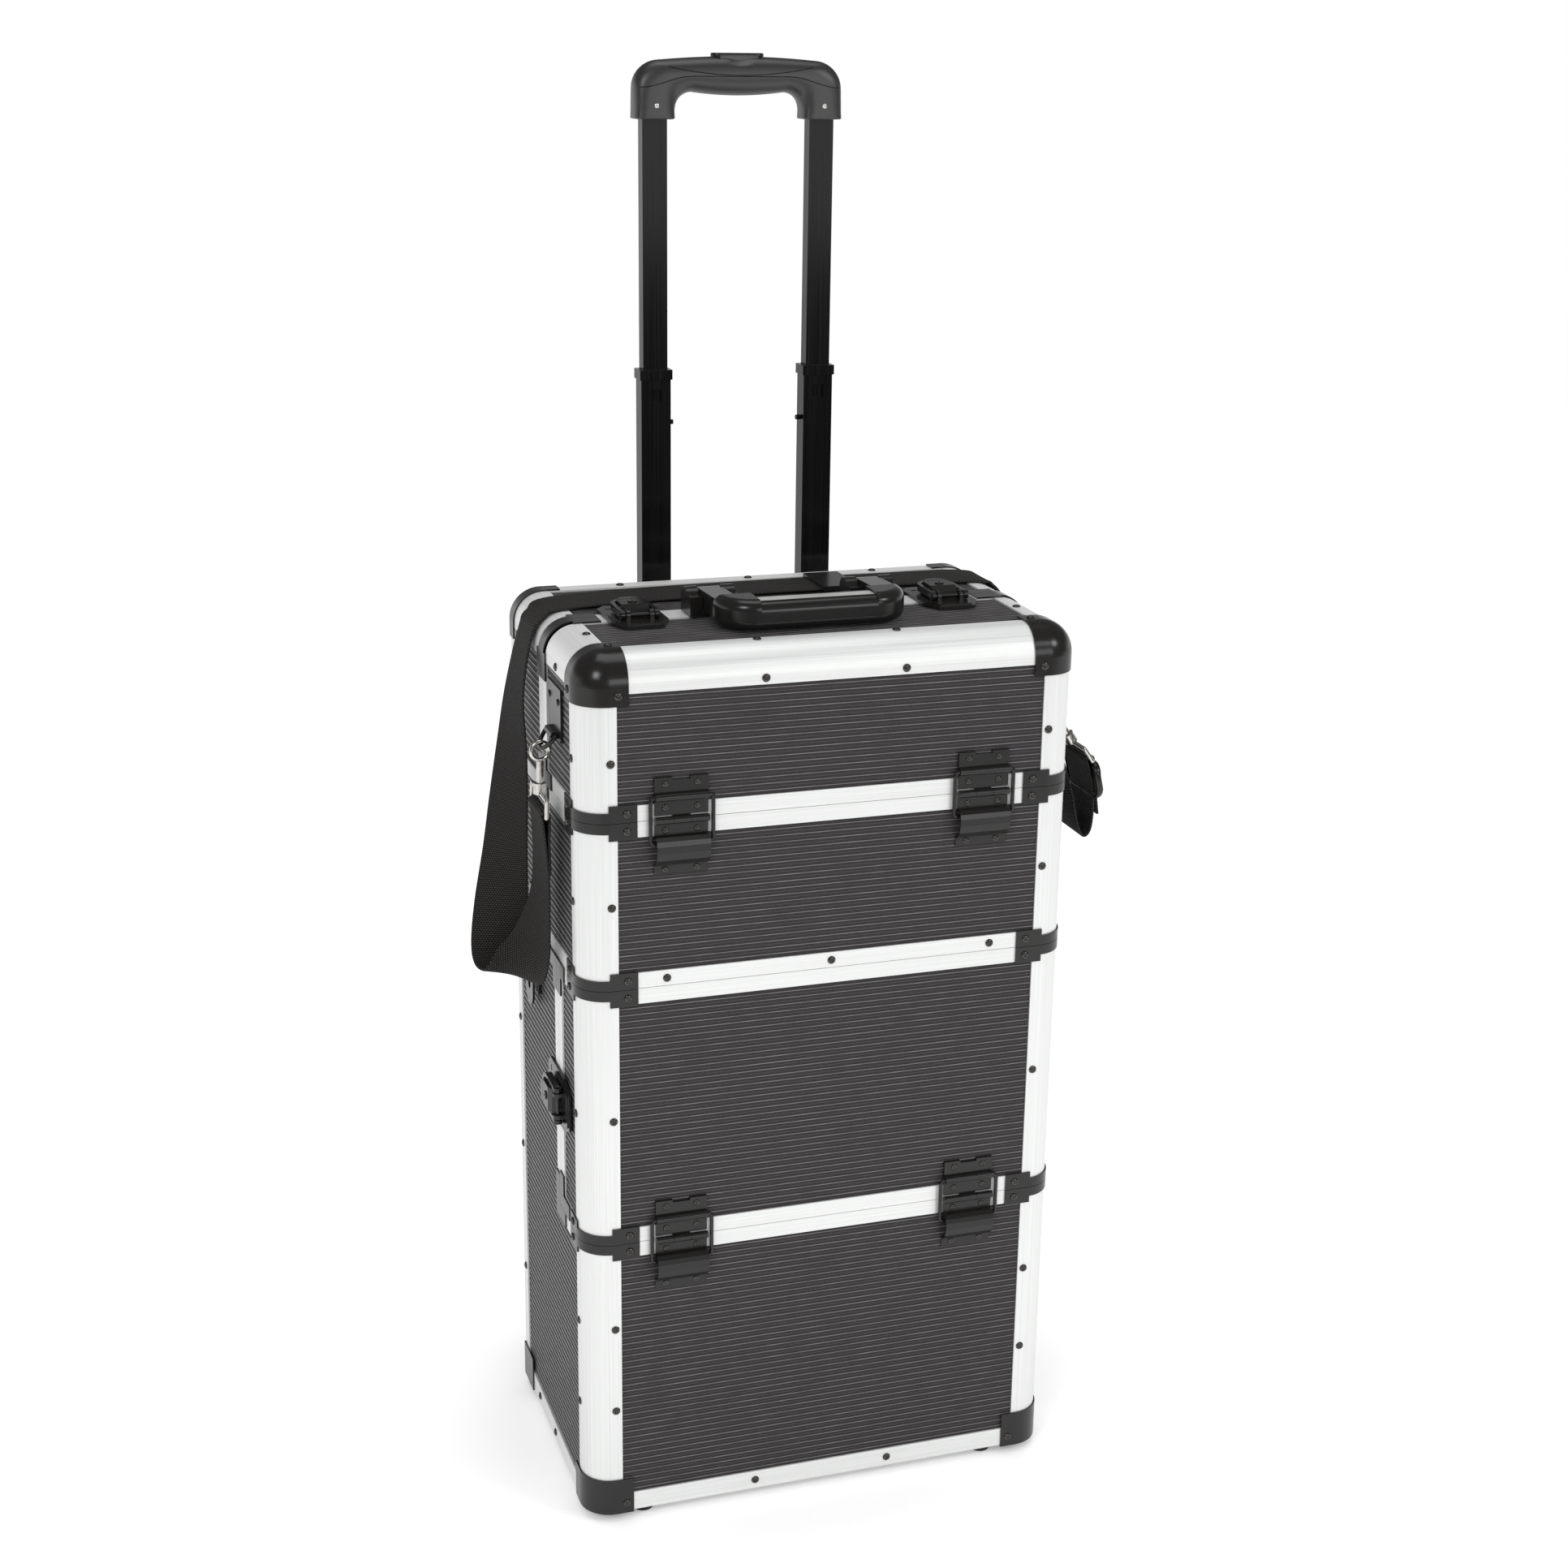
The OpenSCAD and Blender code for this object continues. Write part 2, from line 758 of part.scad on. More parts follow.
// Corner that closes the round top edge at the back of the upper case
module rear_arch_corners() {
    both()
        translate([-half_w, case_d, top_z]) mirror([0, 0, 1]) rotate([90, 0, 0]) {
            linear_extrude(angle_w) corner_wrap(ball_reach);
            linear_extrude(skin_t) corner_plan(0, flange_w);
        }
}

module lid_corners() {
    y = lid_d - half_gap;
    z = seam_lid + half_gap;
    color(black) place() {
        seam_brackets(z, true, false);
        arch_brackets(y, false, false);
        both() translate([-half_w, 0, top_z]) mirror([0, 0, 1]) ball_corner();
        step_brackets([[y, z], [y, z + 26], [y - strip_h, z + 26], [y - strip_h, z + strip_h],
            [y - 28, z + strip_h], [y - 28, z]]);
    }
}

/* Rivets */

ear_x = half_w - ear_reach + 8;
tub_back_rivets = [for (part = [0.24, 0.5, 0.76]) part * seam_case];
tray_back_rivets = [for (part = [0.2, 0.39, 0.69]) seam_case + part * (tray_h + lid_h)];

module ear_rivets(z, out = bracket_t) {
    for (side = [-1, 1])
        front_rivet(side * ear_x, z, -out);
    side_rivet(ear_reach - 8, z, out);
}

module post_rivets(zs) {
    inset = flange_w - 5;
    for (z = zs) {
        for (side = [-1, 1])
            front_rivet(side * (half_w - inset), z);
        side_rivet(inset, z);
    }
}

module tub_rivets() {
    color(black) place() {
        ear_rivets(seam_door - half_gap - ear_h / 2);
        post_rivets([0.387 * tub_h, 0.69 * tub_h]);
        for (x = [-0.29, 0.29])
            front_rivet(x * half_w, base_strip_h / 2);
        for (side = [-1, 1])
            front_rivet(side * (half_w - ball_reach + 6), base_strip_h / 2, -bracket_t);
        side_rivet(case_d / 2, base_strip_h / 2);
        side_rivet(0.755 * case_d, base_strip_h / 2);
        for (z = tub_back_rivets)
            side_rivet(case_d - angle_w / 2, z);
        for (x = [-0.15, 0.15])
            back_rivet(x * half_w, base_strip_h / 2);
        for (x = [-half_w + angle_w / 2, half_w - angle_w / 2], z = tub_back_rivets)
            back_rivet(x, z);
        for (x = [-hinge_x, hinge_x])
            leaf_rivets(x, seam_door, tub_leaf_rivets);
    }
}

module door_rivets() {
    color(black) place() {
        ear_rivets(seam_door + half_gap + ear_h / 2);
        ear_rivets(seam_case - half_gap - ear_h / 2);
        post_rivets([seam_door + 0.493 * door_h]);
        for (x = [-hinge_x, hinge_x])
            leaf_rivets(x, seam_door, cover_leaf_rivets);
    }
}

module tray_rivets() {
    color(black) place() {
        ear_rivets(seam_case + half_gap + ear_h / 2);
        ear_rivets(seam_lid - half_gap - ear_h / 2);
        post_rivets([seam_case + tray_h / 2]);
        for (x = [-0.665, 0, 0.665])
            front_rivet(x * half_w, seam_case + strip_h / 2);
        for (z = tray_back_rivets)
            side_rivet(case_d - angle_w / 2, z);
        for (x = [-half_w + angle_w / 2, half_w - angle_w / 2], z = tray_back_rivets)
            back_rivet(x, z);
        for (x = [-0.55, 0, 0.55])
            top_rivet(x * half_w, case_d - angle_w / 2);
        for (x = [-hinge_x, hinge_x])
            leaf_rivets(x, seam_lid, tub_leaf_rivets);
    }
}

module lid_rivets() {
    inset = flange_w - 5;
    ball_in = ball_reach - 8;
    color(black) place() {
        ear_rivets(seam_lid + half_gap + ear_h / 2);
        post_rivets([seam_lid + 0.36 * lid_h]);
        for (x = [-0.28, 0.28]) {
            front_rivet(x * half_w, top_z - inset);
            top_rivet(x * half_w, inset);
        }
        for (side = [-1, 1]) {
            front_rivet(side * (half_w - ball_in), top_z - ball_in, -bracket_t);
            top_rivet(side * (half_w - ball_in), ball_in, bracket_t);
            top_rivet(side * (half_w - inset), 0.605 * lid_d);
        }
        side_rivet(ball_in, top_z - ball_in, bracket_t);
        side_rivet(0.605 * lid_d, top_z - inset);
        for (x = [-hinge_x, hinge_x])
            leaf_rivets(x, seam_lid, cover_leaf_rivets);
    }
}

/* Stop hinges, drawn in Y and Z with the knuckle axis at the origin */

leaf_t = 1.5;
leaf_y = knuckle_off - leaf_t;
// The panel lies one skin behind the seam strip
panel_face = knuckle_off + skin_t - fit / 2;
leaf_start = knuckle_r + 0.6;
pocket_wall = 1.2;
pocket_foot_z = -36;
tub_leaf_rivets = [[12.5, -8.2, knuckle_off - leaf_t], [12.5, -39.6, panel_face - leaf_t]];
cover_leaf_rivets = [[12.5, 9.6, leaf_y], [12.5, 28, leaf_y]];

module leaf_rivets(x, seam, spots) {
    for (spot = spots, side = [-1, 1])
        translate([x + side * spot[0], -knuckle_off + spot[2], seam + spot[1]])
            rotate([90, 0, 0]) cylinder(h = 1, d1 = 5.4, d2 = 3.6);
}

// Upper leaf: lies on the lid's strip and panel, with a tunnel for the bail's bar
module cover_leaf_section() {
    difference() {
        union() {
            translate([leaf_y, leaf_start]) square([leaf_t, leaf_h - leaf_start]);
            translate([leaf_y, strip_h + fit])
                square([panel_face - leaf_y, leaf_h - strip_h - fit]);
            translate([0, bail_arm]) circle(bail_wire / 2 + 1.35);
        }
        translate([0, bail_arm]) circle(bail_wire / 2 + 0.15);
    }
}

module cover_leaf() {
    tongue = leaf_w / 6;
    difference() {
        union() {
            along_x(-leaf_w / 2, leaf_w / 2) cover_leaf_section();
            along_x(-tongue, tongue) {
                circle(knuckle_r);
                translate([leaf_y, 0]) square([leaf_t - fit, leaf_start + 0.5]);
            }
        }
        rotate([0, 90, 0]) cylinder(r = hinge_pin_r + 0.05, h = 3 * tongue, center = true);
        box([-tongue, 0, leaf_h - 2], [tongue, knuckle_off + 3, leaf_h + 1]);
    }
}

// Lower leaf: a flat on the strip, then a bulged pocket in which the bail's bar slides
module pocket_leaf_section() {
    translate([leaf_y, -strip_h]) square([leaf_t, strip_h - leaf_start]);
    polygon([
        [3.1, -10.8], [1.7, -11.9], [-2.6, -12.6], [-5.6, -15.2], [-6.4, -19], [-6.4, -24.5],
        [-4.6, -30.5], [-0.6, -35.2], [3.3, -36.6], [4, -35.6], [3.2, -35.3], [0, -34.2],
        [-3.6, -29.8], [-5.2, -24.2], [-5.2, -19.3], [-4.5, -16], [-2, -13.8], [3.1, -13.2]
    ]);
    translate([panel_face - leaf_t, pocket_foot_z - 7.5]) square([leaf_t, 8.1]);
}

module pocket_leaf() {
    tongue = leaf_w / 6 + 0.3;
    along_x(-leaf_w / 2, leaf_w / 2) pocket_leaf_section();
    for (x0 = [-leaf_w / 2, tongue])
        along_x(x0, x0 + leaf_w / 2 - tongue) {
            circle(knuckle_r);
            translate([leaf_y, -leaf_start - 0.5]) square([leaf_t - fit, leaf_start + 0.5]);
        }
    rotate([0, 90, 0]) cylinder(r = hinge_pin_r, h = leaf_w - 1, center = true);
}

module at_hinges(seam) {
    place()
        for (x = [-hinge_x, hinge_x])
            translate([x, -knuckle_off, seam]) children();
}

module tub_hinge_leaves() {
    color(black) at_hinges(seam_door) pocket_leaf();
}

module tray_hinge_leaves() {
    color(black) at_hinges(seam_lid) pocket_leaf();
}

module door_hinge_leaves() {
    color(black) at_hinges(seam_door) cover_leaf();
}

module lid_hinge_leaves() {
    color(black) at_hinges(seam_lid) cover_leaf();
}

// Rectangular wire bail that stops the lid when it is square to the case
module bail(x, seam) {
    r = bail_wire / 2;
    bend = bail_w / 2 - leaf_w / 2 - 0.3;
    bar = bail_w / 2 - bend;
    leg = bail_arm - bend;
    color(black) place() translate([x, -knuckle_off, seam]) {
        for (end = [-1, 1]) {
            translate([0, 0, end * bail_arm]) rotate([0, 90, 0])
                cylinder(r = r, h = 2 * bar, center = true);
            translate([end * bail_w / 2, 0, 0])
                cylinder(r = r, h = 2 * leg, center = true);
        }
        for (turn = [0, 1, 2, 3])
            translate([(turn == 0 || turn == 3 ? 1 : -1) * bar, 0,
                (turn < 2 ? 1 : -1) * leg])
                rotate([0, -90 * turn, 0]) rotate([90, 0, 0])
                    rotate_extrude(angle = 90) translate([bend, 0]) circle(r);
    }
}

module lid_bail_left() {
    bail(-hinge_x, seam_lid);
}

module lid_bail_right() {
    bail(hinge_x, seam_lid);
}

module door_bail_left() {
    bail(-hinge_x, seam_door);
}

module door_bail_right() {
    bail(hinge_x, seam_door);
}

/* Locks, drawn on a face with the seam at Y = 0 and Z pointing away from the face */

lever_y = -22;
lever_z = 6.8;
lever_pin_r = 1.6;
lug_x = 9.4;
frame_x = 13.6;
frame_t = 3.4;
frame_y = 6.5;

module lock_base() {
    half = lock_w / 2;
    y1 = -half_gap - 0.3;
    linear_extrude(lock_plate_t)
        polygon([[-half, -24], [-half + 8, -lock_front], [half - 8, -lock_front],
            [half, -24], [half, y1], [-half, y1]]);
    translate([0, 0, lock_plate_t])
        linear_extrude(0.9)
            polygon([[-half + 3, -23], [-half + 9.5, -lock_front + 3],
                [half - 9.5, -lock_front + 3], [half - 3, -23], [half - 3, y1 - 2],
                [-half + 3, y1 - 2]]);
    for (side = [-1, 1])
        translate([side * lug_x, 0, 0]) {
            box([-1.6, lever_y - 4, 0], [1.6, lever_y + 4, lever_z]);
            translate([-1.6, lever_y, lever_z]) rotate([0, 90, 0]) cylinder(r = 4, h = 3.2);
        }
    translate([-frame_x - 2.6, lever_y, lever_z]) rotate([0, 90, 0])
        cylinder(r = lever_pin_r, h = 2 * (frame_x + 2.6));
}

// Plan of the lever or its frame: straight from y0, with a half circle at the back
module lever_plan(half, y0) {
    translate([-half, y0]) square([2 * half, frame_y - y0]);
    translate([0, frame_y]) circle(half);
}

// Lever plate with a key cylinder inside a stirrup, hooked behind the keeper's nose
module lock_lever() {
    plate_y = lever_y + 7;
    difference() {
        union() {
            translate([0, 0, lever_z - 2.4]) linear_extrude(5.4)
                difference() {
                    lever_plan(frame_x + frame_t / 2, lever_y);
                    lever_plan(frame_x - frame_t / 2, lever_y - 5);
                }
            for (side = [-1, 1])
                translate([side * frame_x - frame_t / 2, lever_y, lever_z]) rotate([0, 90, 0])
                    cylinder(r = 3.6, h = frame_t);
            intersection() {
                translate([0, 0, lever_z - 2.6]) linear_extrude(9) lever_plan(10.4, plate_y);
                along_x(-13, 13) translate([plate_y, lever_z - 2.6])
                    polygon([[0, 0], [1.4, 0], [1.6, 3.4], [5, 5.4], [40, 3.6], [40, 8],
                        [7, 7.6], [1.5, 5.4], [0, 3]]);
            }
            box([-frame_x, plate_y + 6, lever_z], [frame_x, plate_y + 10, lever_z + 3]);
            box([-8, 14.4, lever_z - 3.6], [8, 17.6, lever_z + 2]);
            translate([0, 0, lever_z + 4]) cylinder(r = 3.6, h = 2);
        }
        for (side = [-1, 1])
            translate([side * frame_x - frame_t, lever_y, lever_z]) rotate([0, 90, 0])
                cylinder(r = lever_pin_r + 0.06, h = 2 * frame_t);
        box([-0.6, -2.4, lever_z + 4.6], [0.6, 2.4, lever_z + 9]);
        box([-12, 8.6, lever_z + 4.6], [12, 9.4, lever_z + 9]);
    }
}

module lock_keeper(nose) {
    half = lock_w / 2;
    y0 = half_gap + 0.3;
    difference() {
        linear_extrude(lock_plate_t)
            polygon([[-half, y0], [half, y0], [half, lock_back - 9], [half - 7, lock_back],
                [-half + 7, lock_back], [-half, lock_back - 9]]);
        for (x = [-17, 12])
            box([x, lock_back - 13, -1], [x + 5, lock_back - 10.6, lock_plate_t + 1]);
    }
    if (nose)
        along_x(-11, 11)
            polygon([[8.6, lock_plate_t - 0.2], [9.8, 4.2], [12, 4.2], [13.4, lock_plate_t - 0.2]]);
}

module at_lid_lock(side) {
    place() translate([side * lock_x, lid_d, top_z]) children();
}

module at_door_lock(side) {
    place() mirror([side > 0 ? 1 : 0, 0, 0])
        translate([-half_w, door_d, seam_door + side_lock_z]) rotate([0, -90, 0]) children();
}

module lid_locks() {
    color(black)
        for (side = [-1, 1])
            at_lid_lock(side) lock_base();
}

module door_locks() {
    color(black)
        for (side = [-1, 1])
            at_door_lock(side) lock_base();
}

module lid_lever_left() {
    color(black) at_lid_lock(-1) lock_lever();
}

module lid_lever_right() {
    color(black) at_lid_lock(1) lock_lever();
}

module door_lever_left() {
    color(black) at_door_lock(-1) lock_lever();
}

module door_lever_right() {
    color(black) at_door_lock(1) lock_lever();
}

/* Side clasps that hold the two cases together, hanging open */

clasp_out = 4.6;
clasp_z = seam_case - clasp_drop;
clasp_pin_r = 1.6;
stud_r = 4;

module clasp_base() {
    half = clasp_w / 2 + 4;
    translate([-half_w, clasp_y, clasp_z]) {
        box([-1.2, -half, -38], [skin_t, half, 4]);
        for (side = [-1, 1])
            translate([0, side * (clasp_w / 2 + 2), 0]) {
                box([-clasp_out, -1.5, -3.2], [0, 1.5, 3.2]);
                translate([-clasp_out, -1.5, 0]) rotate([-90, 0, 0])
                    cylinder(r = 3.2, h = 3);
            }
        translate([-clasp_out, -half + 1, 0]) rotate([-90, 0, 0])
            cylinder(r = clasp_pin_r, h = 2 * half - 2);
    }
}

module clasp() {
    length = clasp_reach + 13;
    color(black) place() translate([-half_w - clasp_out, clasp_y, clasp_z])
        difference() {
            union() {
                box([-0.9, -clasp_w / 2, -length + 8], [0.9, clasp_w / 2, 0]);
                along_y(-clasp_w / 2, clasp_w / 2) circle(2.8);
                translate([-0.9, 0, -length + 8]) rotate([0, 90, 0])
                    cylinder(r = clasp_w / 2, h = 1.8);
            }
            along_y(-clasp_w, clasp_w) circle(clasp_pin_r + 0.06);
            translate([-5, 0, -clasp_reach]) rotate([0, 90, 0])
                cylinder(r = stud_r + 0.5, h = 10);
        }
}

module clasp_left() {
    clasp();
}

module clasp_right() {
    mirror([1, 0, 0]) clasp();
}

module clasp_stud() {
    translate([-half_w, clasp_y, clasp_z + clasp_reach]) {
        box([-1.2, -clasp_w / 2, -9], [0, clasp_w / 2, 16]);
        box([-1.2, -clasp_w / 2, clasp_drop - clasp_reach + strip_h + half_gap + fit],
            [skin_t, clasp_w / 2, 16]);
        translate([-clasp_out - 1.6, 0, 0]) rotate([0, 90, 0])
            cylinder(r = stud_r, h = clasp_out + 1.6);
    }
}

module tub_catch_plates() {
    color(black) {
        for (side = [-1, 1])
            at_door_lock(side) lock_keeper(false);
        place() both() clasp_base();
    }
}

module tray_catch_plates() {
    color(black) {
        for (side = [-1, 1])
            at_lid_lock(side) lock_keeper(true);
        place() both() clasp_stud();
    }
}

/* Carrying handle, folded forwards on the lid */

mount_y0 = lid_d - 17;
mount_y1 = lid_d + 10;
pivot_y = lid_d + 1;
pivot_pin_r = 3;
mount_ear_t = 10;
arm_gap = 0.4;
mount_lift = 0.4;

// A clevis that stands on the lid and overhangs the strip behind the seam
module handle_mount() {
    ear_in = arm_w / 2 + arm_gap;
    half = ear_in + mount_ear_t;
    translate([-arm_x, 0, top_z]) {
        box([-half, mount_y0, 0], [half, lid_d - half_gap - 0.1, 3]);
        box([-half, lid_d - 4, mount_lift], [half, mount_y1, 3]);
        for (side = [-1, 1])
            translate([side * (ear_in + mount_ear_t / 2) - mount_ear_t / 2, 0, 0]) {
                box([0, mount_y0, 2.5], [mount_ear_t, mount_y1, handle_pivot_z - 1]);
                box([0, mount_y0, 2.5], [mount_ear_t, pivot_y, handle_pivot_z + 4]);
                translate([0, pivot_y, handle_pivot_z]) rotate([0, 90, 0])
                    cylinder(r = 9, h = mount_ear_t);
            }
        translate([-half + 1, pivot_y, handle_pivot_z]) rotate([0, 90, 0])
            cylinder(r = pivot_pin_r, h = 2 * half - 2);
    }
}

module handle_mounts() {
    color(black) place() both() handle_mount();
}

// Half section of the moulded grip: radius from the corner's centre, then height
module grip_section(top) {
    r = handle_corner_r;
    low = 0.8;
    translate([r - 8, top - 8]) circle(8);
    translate([r - 7, low + 7]) circle(7);
    polygon([[0, low], [r - 7, low], [r, low + 7], [r, top - 8], [r - 8, top], [0, top]]);
}

module carry_handle() {
    r = handle_corner_r;
    half = arm_x + arm_w / 2 + 1.5;
    y0 = pivot_y - handle_reach;
    arm_top = handle_pivot_z + 8;
    color(black) place() translate([0, 0, top_z])
        difference() {
            union() {
                // Straight bar, lower than the lobes at its ends
                along_x(r - half, half - r) translate([y0 + r, 0]) mirror([1, 0])
                    intersection() {
                        grip_section(handle_bar_h - 1.5);
                        translate([r - handle_bar_d, 0]) square([handle_bar_d, 60]);
                    }
                both() translate([r - half, y0 + r, 0]) rotate([0, 0, 180])
                    rotate_extrude(angle = 90) grip_section(handle_bar_h);
                for (side = [-1, 1])
                    along_x(side * arm_x - arm_w / 2, side * arm_x + arm_w / 2) {
                        translate([pivot_y, handle_pivot_z]) circle(8);
                        polygon([[pivot_y, handle_pivot_z - 6], [pivot_y, arm_top],
                            [y0 + r - 2, handle_bar_h - 3], [y0 + r - 2, 5]]);
                    }
            }
            for (side = [-1, 1])
                translate([side * arm_x - arm_w, pivot_y, handle_pivot_z]) rotate([0, 90, 0])
                    cylinder(r = pivot_pin_r + 0.08, h = 2 * arm_w);
            // Recess for the flat insert on the grip
            box([r - half, y0 + 8, handle_bar_h - 2.7], [half - r, y0 + handle_bar_d - 1.5, 60]);
        }
}

/* Strap rings on the lid's sides, with the strap's snap hooks */

ring_y = 76;
ring_z = seam_lid + 52;
ring_wire = 3.4;
ring_r = 14;
ring_lean = 38;

ring_out = 3.4;

// Middle of the D-ring's round side
ring_end_x = ring_out + ring_r * sin(ring_lean);
ring_end_z = ring_z - ring_r * cos(ring_lean);

module d_ring() {
    rotate([90, 0, 0]) cylinder(r = ring_wire / 2, h = 2 * ring_r, center = true);
    for (side = [-1, 1])
        translate([0, side * ring_r, 0]) sphere(ring_wire / 2);
    rotate([90, 0, 90]) rotate([0, 0, 180]) rotate_extrude(angle = 180) translate([ring_r, 0])
        circle(ring_wire / 2);
}

// Plate with a barrel on each side of the lid, and the D-ring that leans out of it
module strap_rings() {
    color(black) place() both()
        translate([-half_w, ring_y, ring_z]) {
            difference() {
                union() {
                    box([-1, -22, -3], [skin_t, 22, 38]);
                    along_y(-11, 11) {
                        translate([-ring_out, 0]) circle(3.2);
                        translate([-ring_out, 0]) square([ring_out, 3.2]);
                    }
                }
                translate([-ring_out, 0, 0]) rotate([90, 0, 0])
                    cylinder(r = ring_wire / 2 + 0.15, h = 60, center = true);
            }
            translate([-ring_out, 0, 0]) rotate([0, ring_lean, 0]) d_ring();
            for (side = [-1, 1])
                translate([-1, side * 14, 27]) rotate([0, -90, 0]) rivet();
        }
}

hook_r = 7;
hook_wire = 3.6;
loop_z = -49;
loop_half = 26;

// Swivel snap hook that hangs from the D-ring's wire at the origin
module strap_hook() {
    r = hook_wire / 2;
    loop_top = loop_z + 13;
    translate([0, 0, ring_wire / 2 + 0.3 + r - hook_r]) rotate([90, 0, 0]) rotate_extrude()
        translate([hook_r, 0]) circle(r);
    translate([0, 0, loop_top + 7]) cylinder(r = 2.8, h = 18);
    translate([0, 0, loop_top - 1]) cylinder(r = 5, h = 8.5);
    for (z = [loop_z, loop_top])
        translate([0, 0, z]) rotate([90, 0, 0]) cylinder(r = r, h = 2 * loop_half, center = true);
    for (side = [-1, 1])
        translate([0, side * loop_half, loop_z]) {
            cylinder(r = r, h = loop_top - loop_z);
            sphere(r);
            translate([0, 0, loop_top - loop_z]) sphere(r);
        }
}

hook_tilt_left = 2;
hook_tilt_right = 34;

module strap_hooks() {
    color(black) place() {
        translate([-half_w - ring_end_x, ring_y, ring_end_z])
            rotate([0, hook_tilt_left, 0]) strap_hook();
        translate([half_w + ring_end_x, ring_y, ring_end_z])
            rotate([0, -hook_tilt_right, 0]) strap_hook();
    }
}

// End of the webbing below each hook
hook_drop = -loop_z + hook_wire / 2 + 0.5;
left_end = [-half_w - ring_end_x - hook_drop * sin(hook_tilt_left), ring_y,
    ring_end_z - hook_drop * cos(hook_tilt_left)];
right_end = [half_w + ring_end_x + hook_drop * sin(hook_tilt_right), ring_y,
    ring_end_z - hook_drop * cos(hook_tilt_right)];

/* Telescopic handle */

sleeve_top = seam_case + sleeve_rise;
sleeve_z0 = 22;
middle_top = top_z + middle_rise;
middle_len = 330;
inner_top = middle_top + inner_rise;
inner_len = 260;
collar_h = 12;
lip_h = 8;
slide_gap = 0.3;
stop_pin_r = 2;
stop_pin_z = middle_top - 44;

module tube(w, d, z0, z1) {
    difference() {
        box([-w / 2, -d / 2, z0], [w / 2, d / 2, z1]);
        box([-w / 2 + tube_wall, -d / 2 + tube_wall, z0 - 1],
            [w / 2 - tube_wall, d / 2 - tube_wall, z1 + 1]);
    }
}

module at_tubes() {
    place()
        for (side = [-1, 1])
            translate([side * tube_x, tube_y, 0]) children();
}

module tele_sleeves() {
    color(black) at_tubes() tube(sleeve_w, sleeve_d, sleeve_z0, sleeve_top - collar_h / 2);
}

module tele_brackets() {
    color(black) at_tubes() {
        difference() {
            box([-sleeve_w / 2 - 2, -sleeve_d / 2 - 2, sleeve_top - collar_h],
                [sleeve_w / 2 + 2, sleeve_d / 2 + 2, sleeve_top]);
            box([-middle_w / 2 - slide_gap, -middle_d / 2 - slide_gap, sleeve_top - 20],
                [middle_w / 2 + slide_gap, middle_d / 2 + slide_gap, sleeve_top + 1]);
            box([-sleeve_w / 2 - fit / 2, -sleeve_d / 2 - fit / 2, sleeve_top - 20],
                [sleeve_w / 2 + fit / 2, sleeve_d / 2 + fit / 2, sleeve_top - collar_h / 2]);
        }
        for (z = [sleeve_z0 + 6, seam_case - 70])
            difference() {
                box([-sleeve_w / 2 - 5, -tube_off - skin_t, z],
                    [sleeve_w / 2 + 5, sleeve_d / 2 + 2.5, z + 34]);
                box([-sleeve_w / 2 - fit / 2, -sleeve_d / 2 - fit / 2, z - 1],
                    [sleeve_w / 2 + fit / 2, sleeve_d / 2 + fit / 2, z + 35]);
                box([-sleeve_w, -tube_off + 5, z + 8], [sleeve_w, -sleeve_d / 2 - 3.5, z + 26]);
            }
    }
}

module tele_middle() {
    color(black) at_tubes() {
        difference() {
            tube(middle_w, middle_d, middle_top - middle_len, middle_top - lip_h / 2);
            box([-4.5, -middle_d, middle_top - 26], [4.5, 0, middle_top - 16]);
        }
        difference() {
            box([-middle_w / 2 - 1.2, -middle_d / 2 - 1.2, middle_top - lip_h],
                [middle_w / 2 + 1.2, middle_d / 2 + 1.2, middle_top]);
            box([-inner_w / 2 - slide_gap, -inner_d / 2 - slide_gap, middle_top - 20],
                [inner_w / 2 + slide_gap, inner_d / 2 + slide_gap, middle_top + 1]);
            box([-middle_w / 2 + tube_wall, -middle_d / 2 + tube_wall, middle_top - 20],
                [middle_w / 2 - tube_wall, middle_d / 2 - tube_wall, middle_top - lip_h / 2]);
        }
    }
    color(aluminium) place() both()
        translate([-tube_x + middle_w / 2 - tube_wall, tube_y, stop_pin_z]) rotate([0, 90, 0])
            cylinder(r = stop_pin_r, h = tube_wall + 4);
}

module tele_inner() {
    color(black) at_tubes() tube(inner_w, inner_d, inner_top - inner_len, inner_top + 16);
}

button_w = 44;
button_d = 13;
button_up = 1.8;
button_h = 8;
button_travel = 4;

grip_r = grip_d / 2;
// Drop of the grip's shoulders, rise of its underside towards the legs, and its inner fillet
grip_drop = 4.2;
grip_sag = 3;
grip_fillet = 10;

// A round bar from a to b, two points of the front view, cut back by e at each end
module grip_rod(a, b, e) {
    run = b - a;
    translate([a[0], 0, a[1]]) rotate([0, atan2(run[0], run[1]), 0])
        translate([0, 0, e]) cylinder(r = grip_r, h = norm(run) - 2 * e);
}

// A ball that joins rods and elbows
module grip_joint(p) {
    translate([p[0], 0, p[1]]) sphere(grip_r + 0.2);
}

